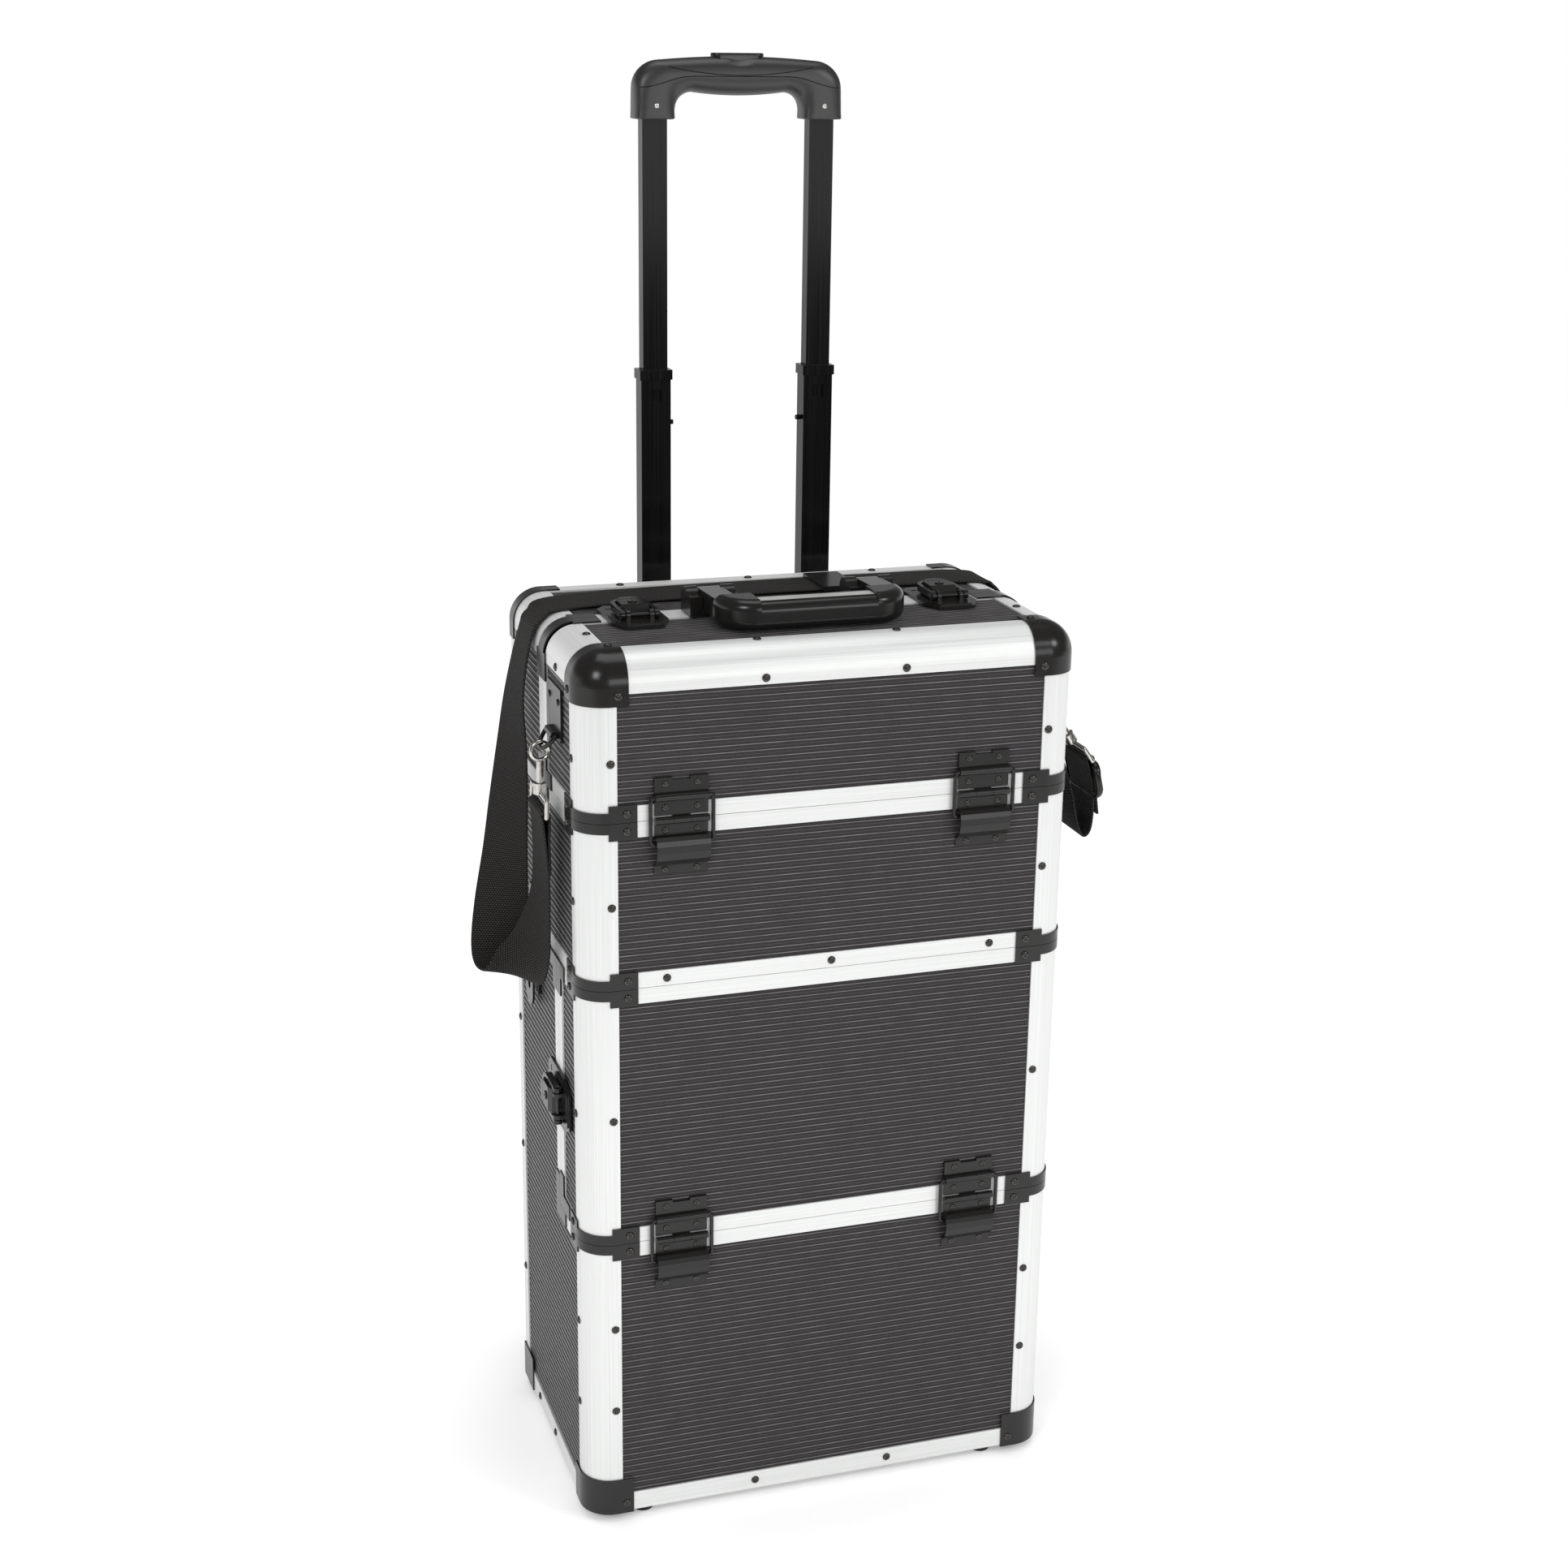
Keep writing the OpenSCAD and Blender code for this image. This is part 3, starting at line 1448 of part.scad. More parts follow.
// Left half of the grip: round rods, their webs, and round elbows between them
module grip_half() {
    outer_x = -tube_x - grip_leg_w / 2 + grip_r;
    inner_x = -tube_x + grip_leg_w / 2 - grip_r;
    top_z = inner_top + grip_h - grip_r - 0.2;
    low_z = inner_top + grip_h - grip_bar + grip_r;
    bend = 20 - grip_r;
    elbow = grip_fillet + grip_r;
    shoulder = [outer_x + bend, top_z - grip_drop];
    corner = [inner_x + elbow, low_z + grip_sag];
    leg_top = [outer_x, shoulder[1] - bend];
    grip_rod([outer_x, inner_top], leg_top, 0);
    grip_rod([inner_x, inner_top], [inner_x, corner[1] - elbow], 0);
    grip_rod(shoulder, [0, top_z], 1);
    grip_rod(corner, [0, low_z], 1);
    for (p = [shoulder, corner, [0, top_z], [0, low_z]])
        grip_joint(p);
    along_y(0.1 - grip_r, grip_r - 0.1)
        polygon([[outer_x, inner_top], leg_top, shoulder, [0, top_z], [0, low_z], corner,
            [inner_x + elbow * 0.2929, corner[1] - elbow * 0.2929], [inner_x, corner[1] - elbow],
            [inner_x, inner_top]]);
    translate([shoulder[0], 0, leg_top[1]]) rotate([90, 0, 0]) rotate([0, 0, 98])
        rotate_extrude(angle = 82)
            intersection() {
                translate([bend, 0]) circle(grip_r);
                translate([0, -grip_r]) square(2 * grip_r + bend);
            }
    translate([corner[0], 0, corner[1] - elbow]) rotate([90, 0, 0]) rotate([0, 0, 92.5])
        rotate_extrude(angle = 87.5) translate([elbow, 0]) circle(grip_r);
}

module tele_grip() {
    color(black) place() translate([0, tube_y, 0])
        difference() {
            both() grip_half();
            for (side = [-1, 1])
                translate([side * tube_x, 0, 0])
                    box([-inner_w / 2 - fit / 2, -inner_d / 2 - fit / 2, inner_top - 1],
                        [inner_w / 2 + fit / 2, inner_d / 2 + fit / 2, inner_top + 16 + fit]);
            button_plan(inner_top + grip_h - button_h - button_travel, inner_top + grip_h + 1, 0.25);
        }
}

// The button's oval, from z0 to z1, grown by e
module button_plan(z0, z1, e) {
    r = button_d / 2 + e;
    translate([0, 0, z0]) linear_extrude(z1 - z0) {
        square([button_w - button_d, 2 * r], center = true);
        for (side = [-1, 1])
            translate([side * (button_w - button_d) / 2, 0]) circle(r);
    }
}

module grip_button() {
    z1 = inner_top + grip_h;
    color(black) place() translate([0, tube_y, 0])
        button_plan(z1 - button_h + 0.2, z1 + button_up, 0);
}

/* Wheels and feet */

wheel_x = half_w - wheel_in;
cheek_t = 3;
wheel_gap = 1.5;

module at_wheels() {
    place() both() translate([-wheel_x, axle_y, axle_z]) children();
}

// Housing on the back wall: two cheeks round the wheel, a bridge above it, and the axle
module wheel_brackets() {
    half = wheel_w / 2 + wheel_gap;
    r = wheel_d / 2;
    color(black) at_wheels() {
        for (x0 = [-half - cheek_t, half])
            along_x(x0, x0 + cheek_t) {
                circle(15);
                polygon([[-axle_off - skin_t, -14], [0, -15], [13, 7.5], [-axle_off + 18, r + 22],
                    [-axle_off - skin_t, r + 22]]);
            }
        box([-half - 10, -axle_off - skin_t, r + 8], [half + 10, -axle_off + 1.5, r + 22]);
        box([-half - 10, -axle_off - skin_t, -14], [-half, -axle_off + 1.5, r + 22]);
        box([half, -axle_off - skin_t, -14], [half + 10, -axle_off + 1.5, r + 22]);
        along_x(-half, half)
            difference() {
                circle(r + 8);
                circle(r + 4.5);
                translate([-axle_off + 1.5, -r - 20]) square([r + 60, r + 20 + 34]);
                translate([-axle_off - 40, -r - 20]) square([40, 2 * r + 60]);
                translate([-axle_off + 24, -r]) square([r + 40, 3 * r]);
            }
        translate([-half - cheek_t - 2, 0, 0]) rotate([0, 90, 0])
            cylinder(r = axle_r, h = 2 * (half + cheek_t + 2));
        translate([-half - cheek_t - 4, 0, 0]) rotate([0, 90, 0]) cylinder(r = 7, h = 4);
        translate([half + cheek_t, 0, 0]) rotate([0, 90, 0]) cylinder(r = 7, h = 4);
    }
}

// Half section of a wheel: hub, web and rounded tread
module wheel_section() {
    r = wheel_d / 2;
    w = wheel_w / 2;
    tread = 6;
    translate([axle_r + 0.06, -w]) square([9, 2 * w]);
    translate([axle_r + 5, -3]) square([r - axle_r - 12, 6]);
    polygon([[r - 15, -w + 1], [r - tread, -w], [r - 2, -w + 2.5], [r, -w + 7], [r, w - 7],
        [r - 2, w - 2.5], [r - tread, w], [r - 15, w - 1]]);
}

module wheel(side) {
    color(rubber) place() translate([side * wheel_x, axle_y, axle_z]) rotate([0, 90, 0])
        difference() {
            rotate_extrude() wheel_section();
            for (k = [0:4])
                rotate([0, 0, 72 * k]) translate([wheel_d / 4 + 1, 0, -10]) cylinder(r = 5, h = 20);
        }
}

module wheel_left() {
    wheel(-1);
}

module wheel_right() {
    wheel(1);
}

module rubber_feet() {
    color(rubber) place() both()
        translate([-foot_x, foot_y, -foot_h]) {
            cylinder(r1 = foot_r - 1.5, r2 = foot_r, h = foot_h - 2);
            translate([0, 0, foot_h - 2]) cylinder(r = foot_r, h = 2);
        }
}

/* Shoulder strap: flat webbing swept along points that are chosen by hand */

arc_in = corner_r * 0.2929;
strap_lift = strap_t / 2 + 0.4;

// Each row: point on the strap's middle line, then the direction of its width
left_side = [
    [left_end, [0.02, 1, 0]],
    [[-half_w - 14, 76.3, seam_lid - 50], [0.05, 1, 0]],
    [[-half_w - 18, 84, seam_lid - 100], [0.3, 0.95, 0]],
    [[-half_w - 24, 91, seam_lid - 138], [0.45, 0.89, 0]],
    [[-half_w - 34, 99, seam_lid - 156], [0.6, 0.8, 0]],
    [[-half_w - 45, 108, seam_lid - 150], [0.75, 0.66, 0]],
    [[-half_w - 50, 117, seam_lid - 120], [0.86, 0.51, 0]],
    [[-half_w - 47, 127, seam_lid - 70], [0.9, 0.44, 0]],
    [[-half_w - 39, 138, seam_lid - 10], [0.8, 0.6, 0]],
    [[-half_w - 25, 150, seam_lid + 50], [0.55, 0.84, 0]],
    [[-half_w - 11, 158, seam_lid + 88], [0.22, 0.97, 0]],
    [[-half_w - 3, 162, seam_lid + 108], [0.05, 1, 0]]
];
over_top = [
    [[-half_w + arc_in - 2, strap_y - 19, top_z - arc_in + 2], [0, 1, 0]],
    [[-half_w + corner_r, strap_y - 15, top_z + strap_lift], [0, 1, 0]],
    [[-half_w / 2, strap_y - 3, top_z + strap_lift], [0, 1, 0]],
    [[0, strap_y, top_z + strap_lift], [0, 1, 0]],
    [[half_w / 2, strap_y, top_z + strap_lift], [0, 1, 0]],
    [[half_w - corner_r, strap_y - 4, top_z + strap_lift], [0, 1, 0]],
    [[half_w - arc_in + 2, strap_y - 6, top_z - arc_in + 2], [0, 1, 0]]
];
right_side = [
    [[half_w + 5, 174, seam_lid + 100], [-0.05, 1, 0]],
    [[half_w + 12, 164, seam_lid + 60], [-0.2, 0.98, 0]],
    [[half_w + 20, 146, seam_lid + 10], [-0.35, 0.94, 0]],
    [[half_w + 28, 124, seam_lid - 40], [-0.45, 0.89, 0]],
    [[half_w + 36, 106, seam_lid - 68], [-0.45, 0.89, 0]],
    [[half_w + 46, 94, seam_lid - 70], [-0.4, 0.92, 0]],
    [[half_w + 50, 86, seam_lid - 50], [-0.3, 0.95, 0]],
    [[half_w + 46, 76.2, seam_lid - 22], [-0.05, 1, 0]],
    [right_end, [0, 1, 0]]
];
strap_route = concat(left_side, over_top, right_side);
strap_steps = 3;

function clamp_index(i, n) = max(0, min(n - 1, i));

// Smooth curve through the rows, using each row's two neighbours
function spline(a, b, c, d, t) =
    0.5 * (2 * b + (c - a) * t + (2 * a - 5 * b + 4 * c - d) * t * t
        + (3 * b - a - 3 * c + d) * t * t * t);

function strap_row(i, column) = strap_route[clamp_index(i, len(strap_route))][column];

function strap_at(u, column) =
    let (i = floor(u), t = u - i)
    spline(strap_row(i - 1, column), strap_row(i, column), strap_row(i + 1, column),
        strap_row(i + 2, column), t);

function unit(v) = v / norm(v);

module shoulder_strap() {
    last = len(strap_route) - 1;
    count = last * strap_steps;
    rings = [
        for (k = [0:count])
            let (
                u = min(k / strap_steps, last - 0.001),
                p = strap_at(u, 0),
                ahead = unit(strap_at(u + 0.001, 0) - strap_at(max(0, u - 0.01), 0)),
                side = unit(strap_at(u, 1)),
                flat = unit(side - ahead * (side * ahead)),
                up = cross(ahead, flat),
                w = flat * strap_w / 2,
                h = up * strap_t / 2
            )
            [p - w - h, p + w - h, p + w + h, p - w + h]
    ];
    points = [for (ring = rings, p = ring) p];
    sides = [
        for (k = [0:count - 1], j = [0:3])
            let (a = 4 * k + j, b = 4 * k + (j + 1) % 4)
            each [[a, b, b + 4], [a, b + 4, a + 4]]
    ];
    ends = [[0, 3, 2], [0, 2, 1], [4 * count, 4 * count + 1, 4 * count + 2],
        [4 * count, 4 * count + 2, 4 * count + 3]];
    color(black) place() polyhedron(points, concat(sides, ends));
}

// Plastic keeper plates round the webbing on top of the case
module strap_sliders() {
    color(black) place()
        translate([half_w / 2 - 42, strap_y, top_z + strap_lift + strap_t / 2 + 0.3]) {
            box([-15, -strap_w / 2 - 4, 0], [15, strap_w / 2 + 4, 2]);
            for (side = [-1, 1])
                translate([0, side * (strap_w / 2 + 2.5), 0])
                    box([-15, -1.5, 0.3 - strap_t], [15, 1.5, 1]);
        }
}

tub_front_panel();
tub_side_panels();
tub_back_panel();
tub_deck_panels();
tub_frame();
tub_corners();
tub_rivets();
rubber_feet();
wheel_brackets();
tele_sleeves();
tele_brackets();
tub_hinge_leaves();
tub_catch_plates();
door_front_panel();
door_side_panels();
door_top_panel();
door_frame();
door_corners();
door_rivets();
door_hinge_leaves();
door_locks();
tray_front_panel();
tray_side_panels();
tray_back_panel();
tray_deck_panels();
tray_frame();
tray_corners();
tray_rivets();
tray_hinge_leaves();
tray_catch_plates();
lid_front_panel();
lid_side_panels();
lid_top_panel();
lid_frame();
lid_corners();
lid_rivets();
lid_hinge_leaves();
lid_locks();
strap_rings();
handle_mounts();
carry_handle();
lid_lever_left();
lid_lever_right();
door_lever_left();
door_lever_right();
lid_bail_left();
lid_bail_right();
door_bail_left();
door_bail_right();
clasp_left();
clasp_right();
tele_middle();
tele_inner();
tele_grip();
grip_button();
wheel_left();
wheel_right();
shoulder_strap();
strap_hooks();
strap_sliders();
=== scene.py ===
# %% [markdown]
# # Aluminium trolley case
# Two aluminium-framed cases stand on each other. They have ribbed black panels in riveted profiles,
# a folding handle, a shoulder strap and a telescopic trolley handle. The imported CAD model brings
# every rigid part. This script gives the parts their finishes and adds what CAD leaves plain: panel
# ribs, domed rivet heads, woven webbing and the moulded grip. Then it sets up a white studio, and
# puts the camera where the photograph was taken from.

# %% Load the frame
import bpy
import bmesh
import math
import numpy as np
from mathutils import Matrix, Vector
from mathutils.bvhtree import BVHTree


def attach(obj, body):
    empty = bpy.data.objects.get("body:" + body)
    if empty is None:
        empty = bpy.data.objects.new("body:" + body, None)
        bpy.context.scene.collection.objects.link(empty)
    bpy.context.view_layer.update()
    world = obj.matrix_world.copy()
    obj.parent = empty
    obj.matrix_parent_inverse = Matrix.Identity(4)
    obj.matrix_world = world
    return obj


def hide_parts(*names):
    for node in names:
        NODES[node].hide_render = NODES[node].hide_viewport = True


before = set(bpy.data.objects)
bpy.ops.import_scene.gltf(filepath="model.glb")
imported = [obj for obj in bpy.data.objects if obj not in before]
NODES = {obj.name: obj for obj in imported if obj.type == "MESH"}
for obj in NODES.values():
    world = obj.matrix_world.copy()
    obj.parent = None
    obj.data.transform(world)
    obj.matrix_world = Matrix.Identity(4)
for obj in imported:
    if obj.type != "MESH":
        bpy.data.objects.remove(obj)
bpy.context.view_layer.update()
print("Loaded", len(NODES), "parts")

# %% [markdown]
# ## Sizes
# Blender works in metres, and a case maker works in millimetres from the case's own corner. So the
# sizes below are the real ones in millimetres, and `at()` is the only place that turns a point of
# the case (x across, y back from the front face, z up from the underside) into the frame.

# %% Sizes
MM = 1000.0  # millimetres in a metre
CASE_W, CASE_D = 400.0, 235.0
HALF = CASE_W / 2
SEAM_DOOR, SEAM_CASE, SEAM_LID, TOP = 243.0, 458.0, 592.0, 720.0  # heights
DOOR_D, LID_D = 81.0, 119.0
STRIP, FLANGE = 12.5, 29.0  # height of a seam strip, reach of a corner profile over the panel
SKIN, ANGLE = 1.5, 14.0  # wall of the aluminium, leg of the edge angles at the back
FOOT_H, AXLE_BACK, WHEEL_R = 9.0, 44.0, 40.0
HINGE_OUT = 9.6  # how far the hinges stand out in front
FRONT_Y = -(CASE_D + AXLE_BACK + WHEEL_R - HINGE_OUT) / 2


def at(x, y, z):
    """A point of the case, in metres of the frame."""
    return Vector((x, y + FRONT_Y, z + FOOT_H)) / MM


print("The case's front face is at y =", round(at(0, 0, 0).y, 4), "m")

# %% [markdown]
# ## Finishes
# A finish could be a photograph wrapped round the piece, but that has seams and a fixed
# resolution. Here each one is built from a few nodes: noise in object coordinates varies colour and
# roughness a little, as wear, dust and casting do. These helpers keep each recipe to a few lines,
# and the first material made with them is the aluminium of the profiles.

# %% A first material
def shader(name, color, rough, metal=0.0, shine=0.5):
    """A new material with a Principled shader."""
    m = bpy.data.materials.new(name)
    m.use_nodes = True
    b = m.node_tree.nodes["Principled BSDF"]
    b.inputs["Base Color"].default_value = (*color, 1)
    b.inputs["Roughness"].default_value = rough
    b.inputs["Metallic"].default_value = metal
    b.inputs["Specular IOR Level"].default_value = shine
    return m


def feed(m, socket, value):
    """Sets an input: a link when the value is a socket, else a fixed value."""
    if isinstance(value, bpy.types.NodeSocket):
        m.node_tree.links.new(value, socket)
    else:
        socket.default_value = value


def add(m, kind, **inputs):
    """A new node; each keyword feeds the input of that name."""
    n = m.node_tree.nodes.new(kind)
    for key, value in inputs.items():
        feed(m, n.inputs[key.replace("_", " ")], value)
    return n


def calc(m, operation, a, b=0.0):
    """A Math node's result."""
    n = m.node_tree.nodes.new("ShaderNodeMath")
    n.operation = operation
    feed(m, n.inputs[0], a)
    feed(m, n.inputs[1], b)
    return n.outputs["Value"]


def surface(m, name, value):
    """Feeds one of the Principled shader's inputs."""
    feed(m, m.node_tree.nodes["Principled BSDF"].inputs[name], value)


aluminium = shader("aluminium", (0.84, 0.85, 0.84), 0.4, 0.4)
print("A new material has", len(aluminium.node_tree.nodes), "nodes")

# %% [markdown]
# ## Aluminium
# The profiles are extruded, brushed lengthwise and clear anodised, so the streaks run along each
# profile. One material could be made for each direction, but many profiles share one part. So the
# material looks at where a point lies: near a seam, the top or the bottom the profiles lie flat,
# anywhere else they stand upright. The noise is fine across the profile and long along it.

# %% Which way each profile runs
BASE_PROFILE = 26.0  # height of the bottom profile's top
coords = aluminium.node_tree.nodes.new("ShaderNodeTexCoord")
split = add(aluminium, "ShaderNodeSeparateXYZ", Vector=coords.outputs["Object"])
height = split.outputs["Z"]
upright = calc(aluminium, "MULTIPLY", calc(aluminium, "GREATER_THAN", height, BASE_PROFILE / MM),
               calc(aluminium, "LESS_THAN", height, (TOP - FLANGE + FOOT_H) / MM))
for seam in (SEAM_DOOR, SEAM_CASE, SEAM_LID):
    off = calc(aluminium, "ABSOLUTE", calc(aluminium, "SUBTRACT", height, (seam + FOOT_H) / MM))
    upright = calc(aluminium, "MULTIPLY", upright, calc(aluminium, "GREATER_THAN", off, STRIP / MM))
flat = calc(aluminium, "SUBTRACT", 1.0, upright)
at_side = calc(aluminium, "GREATER_THAN", calc(aluminium, "ABSOLUTE", split.outputs["X"]),
               (HALF - FLANGE) / MM)
along_y = calc(aluminium, "MULTIPLY", flat, at_side)
along_x = calc(aluminium, "SUBTRACT", flat, along_y)
print("Upright profiles lie between the seams at", SEAM_DOOR, SEAM_CASE, SEAM_LID, "mm")

# %% [markdown]
# Most noise values lie between 0.3 and 0.7, so that range is spread over the whole of a colour or a
# roughness. The streaks are fine across the profile and long along it, and they also carry a very
# shallow bump, because brushing leaves grooves.

# %% Brushed streaks
NOISE_LOW, NOISE_HIGH = 0.3, 0.7
FINE, LONG = 1300.0, 5.0  # streaks in a metre, across the profile and along it


def roughen(m, source, low, high):
    """Maps a noise to a range of roughness."""
    r = add(m, "ShaderNodeMapRange", Value=source, From_Min=NOISE_LOW, From_Max=NOISE_HIGH,
            To_Min=low, To_Max=high)
    surface(m, "Roughness", r.outputs["Result"])


def tint(m, source, dark, light):
    """Mixes two base colours by a noise."""
    r = add(m, "ShaderNodeValToRGB", Fac=source)
    low, high = r.color_ramp.elements
    low.position, high.position = NOISE_LOW, NOISE_HIGH
    low.color, high.color = (*dark, 1), (*light, 1)
    surface(m, "Base Color", r.outputs["Color"])


def bump(m, source, strength, distance):
    """Fine relief that is too small for the mesh."""
    b = add(m, "ShaderNodeBump", Height=source, Strength=strength, Distance=distance)
    surface(m, "Normal", b.outputs["Normal"])


def stretch(coordinate, lengthwise):
    """A coordinate for the noise: long where the profile runs this way, fine elsewhere."""
    scale = calc(aluminium, "SUBTRACT", FINE, calc(aluminium, "MULTIPLY", lengthwise, FINE - LONG))
    return calc(aluminium, "MULTIPLY", coordinate, scale)


stretched = add(aluminium, "ShaderNodeCombineXYZ", X=stretch(split.outputs["X"], along_x),
                Y=stretch(split.outputs["Y"], along_y), Z=stretch(height, upright))
streak = add(aluminium, "ShaderNodeTexNoise", Vector=stretched.outputs["Vector"], Scale=1.0,
             Detail=4.0).outputs["Fac"]
tint(aluminium, streak, (0.76, 0.77, 0.76), (0.88, 0.89, 0.88))
roughen(aluminium, streak, 0.34, 0.5)
bump(aluminium, streak, 0.12, 0.0002)
print("Aluminium has", len(aluminium.node_tree.nodes), "nodes")

# %% [markdown]
# ## Panels
# The panels are boards with a black ribbed skin, and the ribs look paler than the ground. A striped
# image could stand for the ribs, but they catch the light from above, so they become real ridges
# further down. Skin, main rib and the finer rib between are three materials. Both rib finishes are
# the black skin made paler: a painted highlight, on top of the light the real ridges catch.
# `grained()` is the recipe for them and for most finishes below: one noise varies colour and
# roughness together.

# %% Panel and rib finishes
def noise(m, scale, detail=3.0):
    """Noise over object coordinates, stretched by a scale for each axis."""
    coords = m.node_tree.nodes.new("ShaderNodeTexCoord")
    mapping = add(m, "ShaderNodeMapping", Vector=coords.outputs["Object"], Scale=scale)
    return add(m, "ShaderNodeTexNoise", Vector=mapping.outputs["Vector"], Scale=1.0,
               Detail=detail).outputs["Fac"]


def grained(name, dark, light, low, high, scale, detail=3.0, **looks):
    """A finish whose colour and roughness vary together by one noise."""
    m = shader(name, light, high, **looks)
    grain = noise(m, scale, detail)
    tint(m, grain, dark, light)
    roughen(m, grain, low, high)
    return m


panel = grained("panel", (0.031, 0.0285, 0.03), (0.042, 0.0385, 0.041), 0.42, 0.56,
                (700, 700, 700), 2, shine=0.12)
# painted highlight: the main and fine ribs are the black skin made paler, for the light on their
# slopes
painted_highlight_rib = grained("panel_rib_painted_highlight", (0.1, 0.096, 0.098), (0.17, 0.165, 0.168), 0.3, 0.45, (60, 60, 60), 2)
painted_highlight_fine_rib = grained("painted_highlight_fine_rib", (0.045, 0.042, 0.044), (0.068, 0.063, 0.066), 0.38, 0.52,
                   (1500, 1500, 1500))
print("Panel finishes:", panel.name, painted_highlight_rib.name, painted_highlight_fine_rib.name)

# %% [markdown]
# ## Painted, blackened and plated steel
# Hinges, brackets and locks are painted a smooth, glossy black. A bump would speckle such a dark
# gloss, so only colour and roughness vary. Rivet heads are blackened steel with a sharper shine.
# The tubes are drawn and painted: their noise is stretched along z. Hooks and screws are nickel.

# %% Metal finishes
black_paint = grained("black_paint", (0.009, 0.0081, 0.0077), (0.012, 0.0108, 0.0102), 0.2, 0.25,
                      (900, 900, 900), 2)
rivet_black = grained("rivet_black", (0.08, 0.076, 0.073), (0.1, 0.096, 0.092), 0.12, 0.18,
                      (600, 600, 600), 2, metal=0.9)
tube_black = grained("tube_black", (0.0035, 0.003, 0.003), (0.006, 0.0055, 0.0055), 0.1, 0.2,
                     (800, 800, 4), shine=0.14)
nickel = grained("nickel", (0.6, 0.58, 0.54), (0.8, 0.78, 0.75), 0.1, 0.24, (300, 300, 300),
                 metal=1.0)
print("Metal finishes:", black_paint.name, rivet_black.name, tube_black.name, nickel.name)

# %% [markdown]
# ## Plastic and rubber
# Lock bodies and the carrying handle are hard glossy plastic. The trolley grip is softer to the
# hand, with a broad sheen, so it has its own finish. Feet and tyres are matt rubber, and the
# handle's top holds a drawn grey insert whose streaks run across the case.

# %% Plastic and rubber finishes
plastic = grained("black_plastic", (0.008, 0.0075, 0.0071), (0.0105, 0.0098, 0.0093), 0.19, 0.24,
                  (1400, 1400, 1400))
soft_grip = grained("soft_grip", (0.012, 0.0116, 0.0116), (0.016, 0.0155, 0.0155), 0.37, 0.43,
                    (1400, 1400, 1400), shine=0.9)
rubber = grained("rubber", (0.014, 0.014, 0.014), (0.028, 0.027, 0.027), 0.65, 0.85,
                 (500, 500, 500))
insert_grey = grained("handle_insert", (0.36, 0.36, 0.35), (0.46, 0.46, 0.45), 0.24, 0.36,
                      (20, 900, 900))
print("Plastic finishes:", plastic.name, soft_grip.name, rubber.name, insert_grey.name)

# %% [markdown]
# ## Webbing
# The strap is plain-woven nylon: picks lie in rows, and each row is set off by half a pick. The
# pattern has to turn with the band, so it reads the strap's own UV map, which is in metres, and not
# the object coordinates. Two sine waves multiplied give one small mound for each pick. The mounds
# are a shallow bump, and they also set the colour: painted shade between the picks, and a painted
# highlight on each pick's top.

# %% Woven finish
PICK, ROW = 0.0023, 0.0017  # metres: length of a pick across the band, and width of a row
webbing = shader("webbing", (0.02, 0.018, 0.017), 0.75, shine=0.25)
weave_map = add(webbing, "ShaderNodeUVMap")
weave_map.uv_map = "weave"
split = add(webbing, "ShaderNodeSeparateXYZ", Vector=weave_map.outputs["UV"])


def mound(turns):
    """0 at whole turns, 1 halfway between them."""
    return calc(webbing, "ABSOLUTE", calc(webbing, "SINE", calc(webbing, "MULTIPLY", turns, math.pi)))


row = calc(webbing, "DIVIDE", split.outputs["X"], ROW)
shift = calc(webbing, "MULTIPLY", calc(webbing, "MODULO", calc(webbing, "FLOOR", row), 2.0), 0.5)
pick = calc(webbing, "ADD", calc(webbing, "DIVIDE", split.outputs["Y"], PICK), shift)
weave = calc(webbing, "MULTIPLY", mound(row), mound(pick))
# painted shade and highlight: dark between the picks, pale on each pick's top, by the same mounds as
# the bump
tint(webbing, weave, (0.005, 0.0045, 0.0042), (0.045, 0.0415, 0.0395))
roughen(webbing, noise(webbing, (900, 900, 900)), 0.65, 0.85)
bump(webbing, weave, 0.7, 0.0006)
print("Webbing:", round(1 / ROW), "rows in a metre")

# %% [markdown]
# ## Painting the CAD parts
# Every CAD part gets one finish. Most can be told from the part's name, as frames are aluminium and
# panels are panel skin. The others are listed, and what is left is painted steel.

# %% Finishes of the CAD parts
FINISH = {
    "shoulder_strap": webbing, "strap_hooks": nickel, "strap_sliders": plastic,
    "tele_sleeves": tube_black, "tele_middle": tube_black, "tele_inner": tube_black,
    "tele_grip": plastic, "grip_button": plastic, "carry_handle": plastic,
    "tele_brackets": plastic, "wheel_brackets": black_paint,
    "wheel_left": rubber, "wheel_right": rubber, "rubber_feet": rubber,
}


def finish_of(name):
    """The finish of a CAD part, told from its name."""
    if name in FINISH:
        return FINISH[name]
    if name.endswith("_frame"):
        return aluminium
    if name.endswith(("_panel", "_panels")):
        return panel
    return black_paint


def paint(obj, material):
    """Gives an object one material."""
    obj.data.materials.clear()
    obj.data.materials.append(material)


for name, part in NODES.items():
    paint(part, finish_of(name))
print("Painted", len(NODES), "parts")

# %% [markdown]
# ## Panel ribs
# Thin ridges run across every panel, 5.35 mm apart, with a finer one halfway between two of them.
# They could be cut into the panel by an extrusion, but they are laid on it here as bars, so that
# the CAD panel stays as it is. An Array modifier could repeat one bar, but every panel has its own
# size. So a small Geometry Nodes group with named inputs puts a bar on each point of a line. It
# ends in real geometry, because the export drops instances.

# %% Rib group
def node_group(name, sockets):
    """An empty group with named inputs, its input node and its output node."""
    g = bpy.data.node_groups.new(name, "GeometryNodeTree")
    for title, kind in sockets:
        g.interface.new_socket(title, in_out="INPUT", socket_type=kind)
    g.interface.new_socket("Geometry", in_out="OUTPUT", socket_type="NodeSocketGeometry")
    return g, g.nodes.new("NodeGroupInput"), g.nodes.new("NodeGroupOutput")


